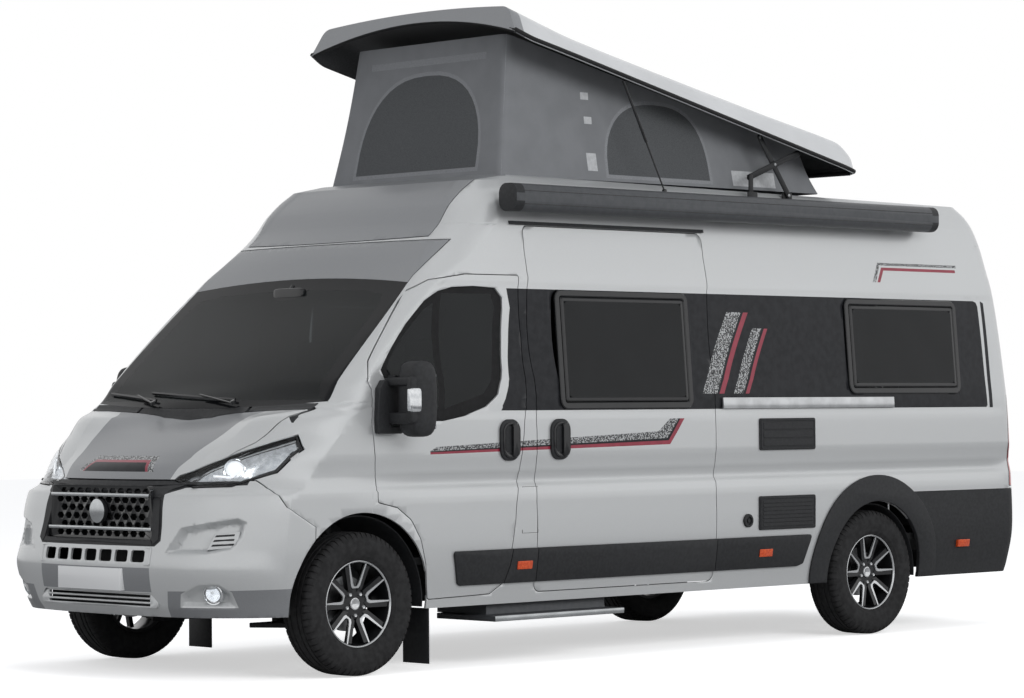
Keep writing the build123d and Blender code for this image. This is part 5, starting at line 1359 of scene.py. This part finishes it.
# Linkage: flat steel bars, black coated, on shouldered pins. The gas struts have black barrels and rods.
coated_steel = finish("black_coated_steel", "#1E1F21", 0.45, ("#1B1C1E", "#232426", 20.0), metallic=0.3)
bright_steel = finish("zinc_plated_steel", "#A9ABAD", 0.32, ("#9FA1A3", "#B3B5B7", 12.0), metallic=0.95)
for node, coat in (("main_arms", coated_steel), ("cross_arms", coated_steel), ("knee_links", coated_steel),
                   ("hinge_brackets", coated_steel), ("strut_barrels", gloss_plastic),
                   ("strut_rods", gloss_plastic)):
    dressed(node, f"{node}_finished", [coat], width=0.0012, segments=2)
PINS = [("arms", (-1.275, 2.575), 0.826, 0.010), ("arms", (-1.0253, 2.9052), 0.826, 0.010),
        ("crossed_arms", (-1.1426, 2.7500), 0.838, 0.009), ("crossed_arms", (-0.9188, 2.6663), 0.8375, 0.008)]
for i, (body, (x, z), y, r) in enumerate(PINS):
    head = [(0.0, r), (0.0012, r), (0.0022, r * 0.8), (0.0022, 0.0)]
    shapes = [turned(head, 20, (0, sign, 0), (x, y * sign, z)) for sign in (1, -1)]
    added(f"pin_heads_{i}", shapes, "main_arms", [bright_steel], body=body)

# Tent: coated canvas stretched between the roof and the lid, with sewn corners, mesh windows and webbing.
# It sags a little between its hems. The folds come from moved vertices.
canvas, tree, shader = surface("grey_coated_canvas", "#77797C", 0.85)
shader.inputs["Sheen Weight"].default_value = 0.15
place = mottle(tree, shader, "#75777A", "#7B7D80", 160.0)
weave_x = add(tree, "ShaderNodeTexWave", {"Vector": place, "Scale": 90.0, "Distortion": 0.4},
              bands_direction="X")
weave_z = add(tree, "ShaderNodeTexWave", {"Vector": place, "Scale": 90.0, "Distortion": 0.4},
              bands_direction="Z")
weave = add(tree, "ShaderNodeMath", {0: weave_x.outputs["Fac"], 1: weave_z.outputs["Fac"]},
            operation="MAXIMUM")
bump = add(tree, "ShaderNodeBump", {"Height": weave.outputs[0], "Distance": 0.0006, "Strength": 0.35})
tree.links.new(bump.outputs[0], shader.inputs["Normal"])
net, tree, shader = surface("black_insect_net", "#4A4B4D", 0.9)
place = add(tree, "ShaderNodeTexCoord").outputs["Object"]
holes = add(tree, "ShaderNodeTexVoronoi", {"Vector": place, "Scale": 260.0})
two_shades(tree, shader, holes.outputs["Distance"], 0.1, 0.5, "#38393B", "#56585A")
webbing = finish("grey_webbing", "#85878A", 0.9, ("#7D7F82", "#8D8F92", 5.0), grained=(2.5, 0.3))
pale_patch = finish("pale_reinforcing_patch", "#B4B6B8", 0.8, ("#ADAFB1", "#BBBDBF", 20.0))

tent_low_z, tent_front, tent_rear, tent_half = 2.607, 0.9415, -1.6985, 0.705
top_front, top_rear, top_half = 0.8055, -1.5585, 0.615
top_front_z = 3.388
corner_run = 0.05


def tent_corners(front, rear, half_front, half_rear):
    """The outline of the tent at one height, with small round corners and a fixed count of points."""
    points = []
    legs = [((front, -half_front), (front, half_front), 64), ((front, half_front), (rear, half_rear), 120),
            ((rear, half_rear), (rear, -half_rear), 60), ((rear, -half_rear), (front, -half_front), 120)]
    for a, b, count in legs:
        a, b = Vector(a), Vector(b)
        run = (b - a).normalized() * corner_run
        points += [(a + run).lerp(b - run, t) for t in np.linspace(0, 1, count)]
        points += [None] * 4
    filled = []
    for i, p in enumerate(points):
        if p is not None:
            filled.append(p)
            continue
        if points[i - 1] is None:
            continue
        start, end = points[i - 1], points[(i + 4) % len(points)]
        before = points[i - 2]
        along = (start - before).normalized()
        knee = start + along * corner_run
        for t in (0.2, 0.4, 0.6, 0.8):
            filled.append(start * (1 - t) ** 2 + knee * 2 * t * (1 - t) + end * t ** 2)
    return filled


rear_top_z = top_front_z - math.tan(lid_tilt) * (top_front - top_rear)
rear_half = tent_half - (tent_half - top_half) * (rear_top_z - tent_low_z) / (top_front_z - tent_low_z)
low_ring = tent_corners(tent_front, tent_rear, tent_half, tent_half)
high_ring = tent_corners(top_front, top_rear, top_half, rear_half)
tent_rows = 34
random.seed(7)
folds = [(random.uniform(5, 26), random.uniform(0, 6.28), random.uniform(0.6, 1.4)) for _ in range(9)]


def fold_depth(run, share):
    """How far the cloth moves in or out: a slight sag between the hems and soft slanted folds."""
    sag = -0.011 * math.sin(math.pi * share)
    ripple = sum(math.sin(k * run + phase + slant * 3 * share) for k, phase, slant in folds) / len(folds)
    near_top = 0.6 + 0.8 * share ** 2
    return sag + 0.0045 * ripple * math.sin(math.pi * min(share * 1.02, 1)) * near_top


bm = bmesh.new()
grid = []
for low_point, high_point in zip(low_ring, high_ring):
    high_z = top_front_z - math.tan(lid_tilt) * (top_front - high_point.x)
    a, b = Vector((low_point.x, low_point.y, tent_low_z)), Vector((high_point.x, high_point.y, high_z))
    grid.append([bm.verts.new(a.lerp(b, k / tent_rows)) for k in range(tent_rows + 1)])
for i in range(len(grid)):
    a, b = grid[i], grid[(i + 1) % len(grid)]
    for k in range(tent_rows):
        bm.faces.new((a[k], b[k], b[k + 1], a[k + 1]))
bmesh.ops.recalc_face_normals(bm, faces=bm.faces)
bm.normal_update()


def arch(x0, x1, low_z, top_z, lean=0.0, count=22):
    """An arched window outline that stands on a flat foot."""
    middle, half = (x0 + x1) / 2, (x1 - x0) / 2
    points = [(x0, low_z)]
    for k in range(count + 1):
        a = math.pi * (1 - k / count)
        points.append((middle + half * math.copysign(abs(math.cos(a)) ** 0.8,
                                                     math.cos(a)) + lean * math.sin(a),
                       low_z + 0.03 + (top_z - low_z - 0.03) * math.sin(a) ** 0.85))
    return points + [(x1, low_z)]


SIDE_ARCH = (-0.735, 0.100, 2.645, 3.060)
mark(bm, arch(SIDE_ARCH[0] - 0.022, SIDE_ARCH[1] + 0.022, SIDE_ARCH[2] - 0.02, SIDE_ARCH[3] + 0.022), 2,
     side_view)
mark(bm, arch(*SIDE_ARCH), 1, side_view)


def mark_front(outline, index):
    """Marks an outline of y and z on the tent's front wall only."""
    for (y1, z1), (y2, z2) in zip(outline, outline[1:] + outline[:1]):
        near = [f for f in bm.faces if f.calc_center_median().x > 0.7]
        cut_along(bm, Vector((0, y1, z1)), Vector((0, z2 - z1, y1 - y2)), near)
    for face in bm.faces:
        c = face.calc_center_median()
        if c.x > 0.7 and abs(c.y) < 0.6 and inside(outline, c.y, c.z):
            face.material_index = index


mark_front(arch(-0.512, 0.512, 2.640, 3.225), 2)
mark_front(arch(-0.490, 0.490, 2.662, 3.203), 1)
mark_front([(-0.47, 3.262), (0.47, 3.262), (0.47, 3.300), (-0.47, 3.300)], 2)
for x0, x1, z0, z1 in ((0.205, 0.265, 3.06, 3.10), (0.190, 0.250, 2.925, 2.965), (0.185, 0.262, 2.66, 2.76),
                       (-1.30, -0.93, 2.625, 2.715)):
    mark(bm, [(x0, z0), (x1, z0), (x1, z1), (x0, z1)], 3, side_view)
bmesh.ops.remove_doubles(bm, verts=bm.verts, dist=4e-4)
bm.normal_update()
for v in bm.verts:
    slope_z = top_front_z - math.tan(lid_tilt) * (top_front - v.co.x)
    share = min(max((v.co.z - tent_low_z) / max(slope_z - tent_low_z, 1e-3), 0), 1)
    run = math.atan2(v.co.y, v.co.x + 0.4) * 1.4
    v.co += v.normal * fold_depth(run, share)
mesh = bpy.data.meshes.new("tent_canvas")
bm.to_mesh(mesh)
bm.free()
for material in (canvas, net, webbing, pale_patch):
    mesh.materials.append(material)
tent_mesh = baked("tent_canvas", mesh, [("SOLIDIFY", {"thickness": 0.0012, "offset": 0})])
tent_piece = new_piece("tent_canvas", creased(tent_mesh, 60), "tent")
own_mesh(tent_piece)

# Corner seams of the tent: doubled cloth, sewn over the four upright edges.
seam_lines = []
for x0, y0, x1, y1 in ((tent_front, tent_half, top_front, top_half),
                       (tent_rear, tent_half, top_rear, rear_half)):
    for sign in (1, -1):
        top_z = top_front_z - math.tan(lid_tilt) * (top_front - x1)
        inward = Vector((-1 if x0 > 0 else 1, -sign, 0))
        a = Vector((x0, y0 * sign, tent_low_z)) + inward * 0.0138
        b = Vector((x1, y1 * sign, top_z)) + inward * 0.0138
        seam_lines.append(rod([a.lerp(b, k / 12) + inward * (0.0085 * math.sin(math.pi * k / 12))
                               for k in range(13)], 0.0028, sides=6))
seams = added("tent_corner_seams", seam_lines, "tent", [webbing], degrees=None)
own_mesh(seams)

# Cab seats: foam under woven cloth, with sewn channels and side bolsters, on a plain moulded base.
seat_cloth = finish("woven_seat_cloth", "#3B3D40", 0.92, ("#35373A", "#434548", 9.0),
                    grained=(1.5, 0.25), sheen=0.3)


def channels(lines, depth, bolster=0.0):
    """Shapes a pad: sewn channels across it, a dished middle between side bolsters, and sides that pull in."""
    def shape(v):
        top = max(v.z, 0)
        pull = 1 - 0.05 * (1 - abs(v.y)) * (1 - abs(v.z))
        x, y, z = v.x * pull, v.y * pull, v.z
        groove = sum(math.exp(-((v.x - line) / 0.035) ** 2) for line in lines)
        crown = 0.10 * (1 - v.x ** 2) * (1 - v.y ** 2)
        z -= top * (depth * groove + bolster * max(1 - (v.y / 0.72) ** 2, 0) - crown)
        return Vector((x, y, z))
    return shape


seat_x, seat_y = 1.5935, 0.450
for side, sign in (("left", 1), ("right", -1)):
    y = seat_y * sign
    pads = [
        ("seat_cushion", (seat_x + 0.010, y, 0.870), (0.500, 0.480, 0.130), 0.0,
         channels((-0.35, 0.05, 0.45), 0.16, 0.22)),
        ("seat_back", (seat_x - 0.262, y, 1.215), (0.630, 0.470, 0.130), -math.radians(90 - 8),
         channels((-0.5, -0.1, 0.3), 0.16, 0.24)),
        ("head_restraint", (seat_x - 0.322, y, 1.640), (0.165, 0.250, 0.095), -math.radians(86),
         channels((), 0.0)),
    ]
    for name, centre, size, tilt, shape in pads:
        cushion = soft_block(centre, size, power=5.0, cuts=26, shape=shape, tilt=tilt)
        pad = added(f"{name}_{side}", [cushion], "cab_seats", [seat_cloth], 60)
dressed("cab_seats", "seat_bases", [black_plastic], width=0.006,
        keep=lambda c: c.z < 0.795 or (1.50 < c.z < 1.60 and abs(abs(c.y) - seat_y) < 0.07))

# Dashboard: grained polypropylene, and a wheel with a thick rim, three spokes and a plain boss.
dressed("dashboard", "dashboard_moulding", [black_plastic], width=0.012, segments=3,
        keep=lambda c: c.x > 1.925)
wheel_centre, wheel_axis = Vector((1.8135, -0.430, 1.120)), Vector((-0.82, 0, 0.57))
ring = [(0.016 * math.cos(2 * math.pi * k / 14), 0.184 + 0.016 * math.sin(2 * math.pi * k / 14))
        for k in range(14)]
wheel_shapes = [turned(ring, 56, wheel_axis, wheel_centre + wheel_axis * 0.010, closed=True),
                turned([(-0.020, 0.030), (-0.004, 0.062), (0.012, 0.058), (0.018, 0.040), (0.019, 0.0)], 32,
                       wheel_axis,
                       wheel_centre),
                turned([(-0.20, 0.030), (-0.02, 0.030)], 20, wheel_axis, wheel_centre)]
spoke_frame = facing(wheel_axis, wheel_centre)
for turn in (0, 110, 250):
    a = math.radians(turn - 90)
    ends = [spoke_frame @ Vector((r * math.cos(a), 0.002, r * math.sin(a))) for r in (0.05, 0.178)]
    wheel_shapes.append(rod(ends, 0.016, flat=0.5))
added("steering_wheel", wheel_shapes, "dashboard", [black_plastic])
mirror_shapes = [soft_block((1.840, 0, 1.965), (0.040, 0.240, 0.065), power=6.0, cuts=8),
                 rod([(1.835, 0, 1.985), (1.815, 0, 2.012)], 0.010)]
added("interior_mirror", mirror_shapes, "dashboard", [gloss_plastic], 50)

# Below: sealed floor steel, moulded wheel housings and tank, and cast running gear with coated springs.
wax_steel = finish("wax_sealed_steel", "#2A2B2C", 0.7, ("#232425", "#323334", 60.0), metallic=0.2)
cast_iron = finish("coated_cast_iron", "#262728", 0.6, ("#1F2021", "#2E2F30", 25.0),
                   grained=(4.0, 0.3), metallic=0.4)
cast_alloy = finish("cast_aluminium", "#7D7F80", 0.55, ("#727475", "#898B8C", 30.0),
                    grained=(5.0, 0.3), metallic=0.7)
for node, coat, width in (("floor_pan", wax_steel, 0.002), ("front_subframe", cast_iron, 0.003),
                          ("engine", cast_alloy, 0.012), ("rear_axle", cast_iron, 0.003),
                          ("knuckle_left", cast_iron, 0.002), ("knuckle_right", cast_iron, 0.002),
                          ("underbody_plastics", black_plastic, 0.003)):
    dressed(node, f"{node}_finished", [coat], width=width, degrees=40)
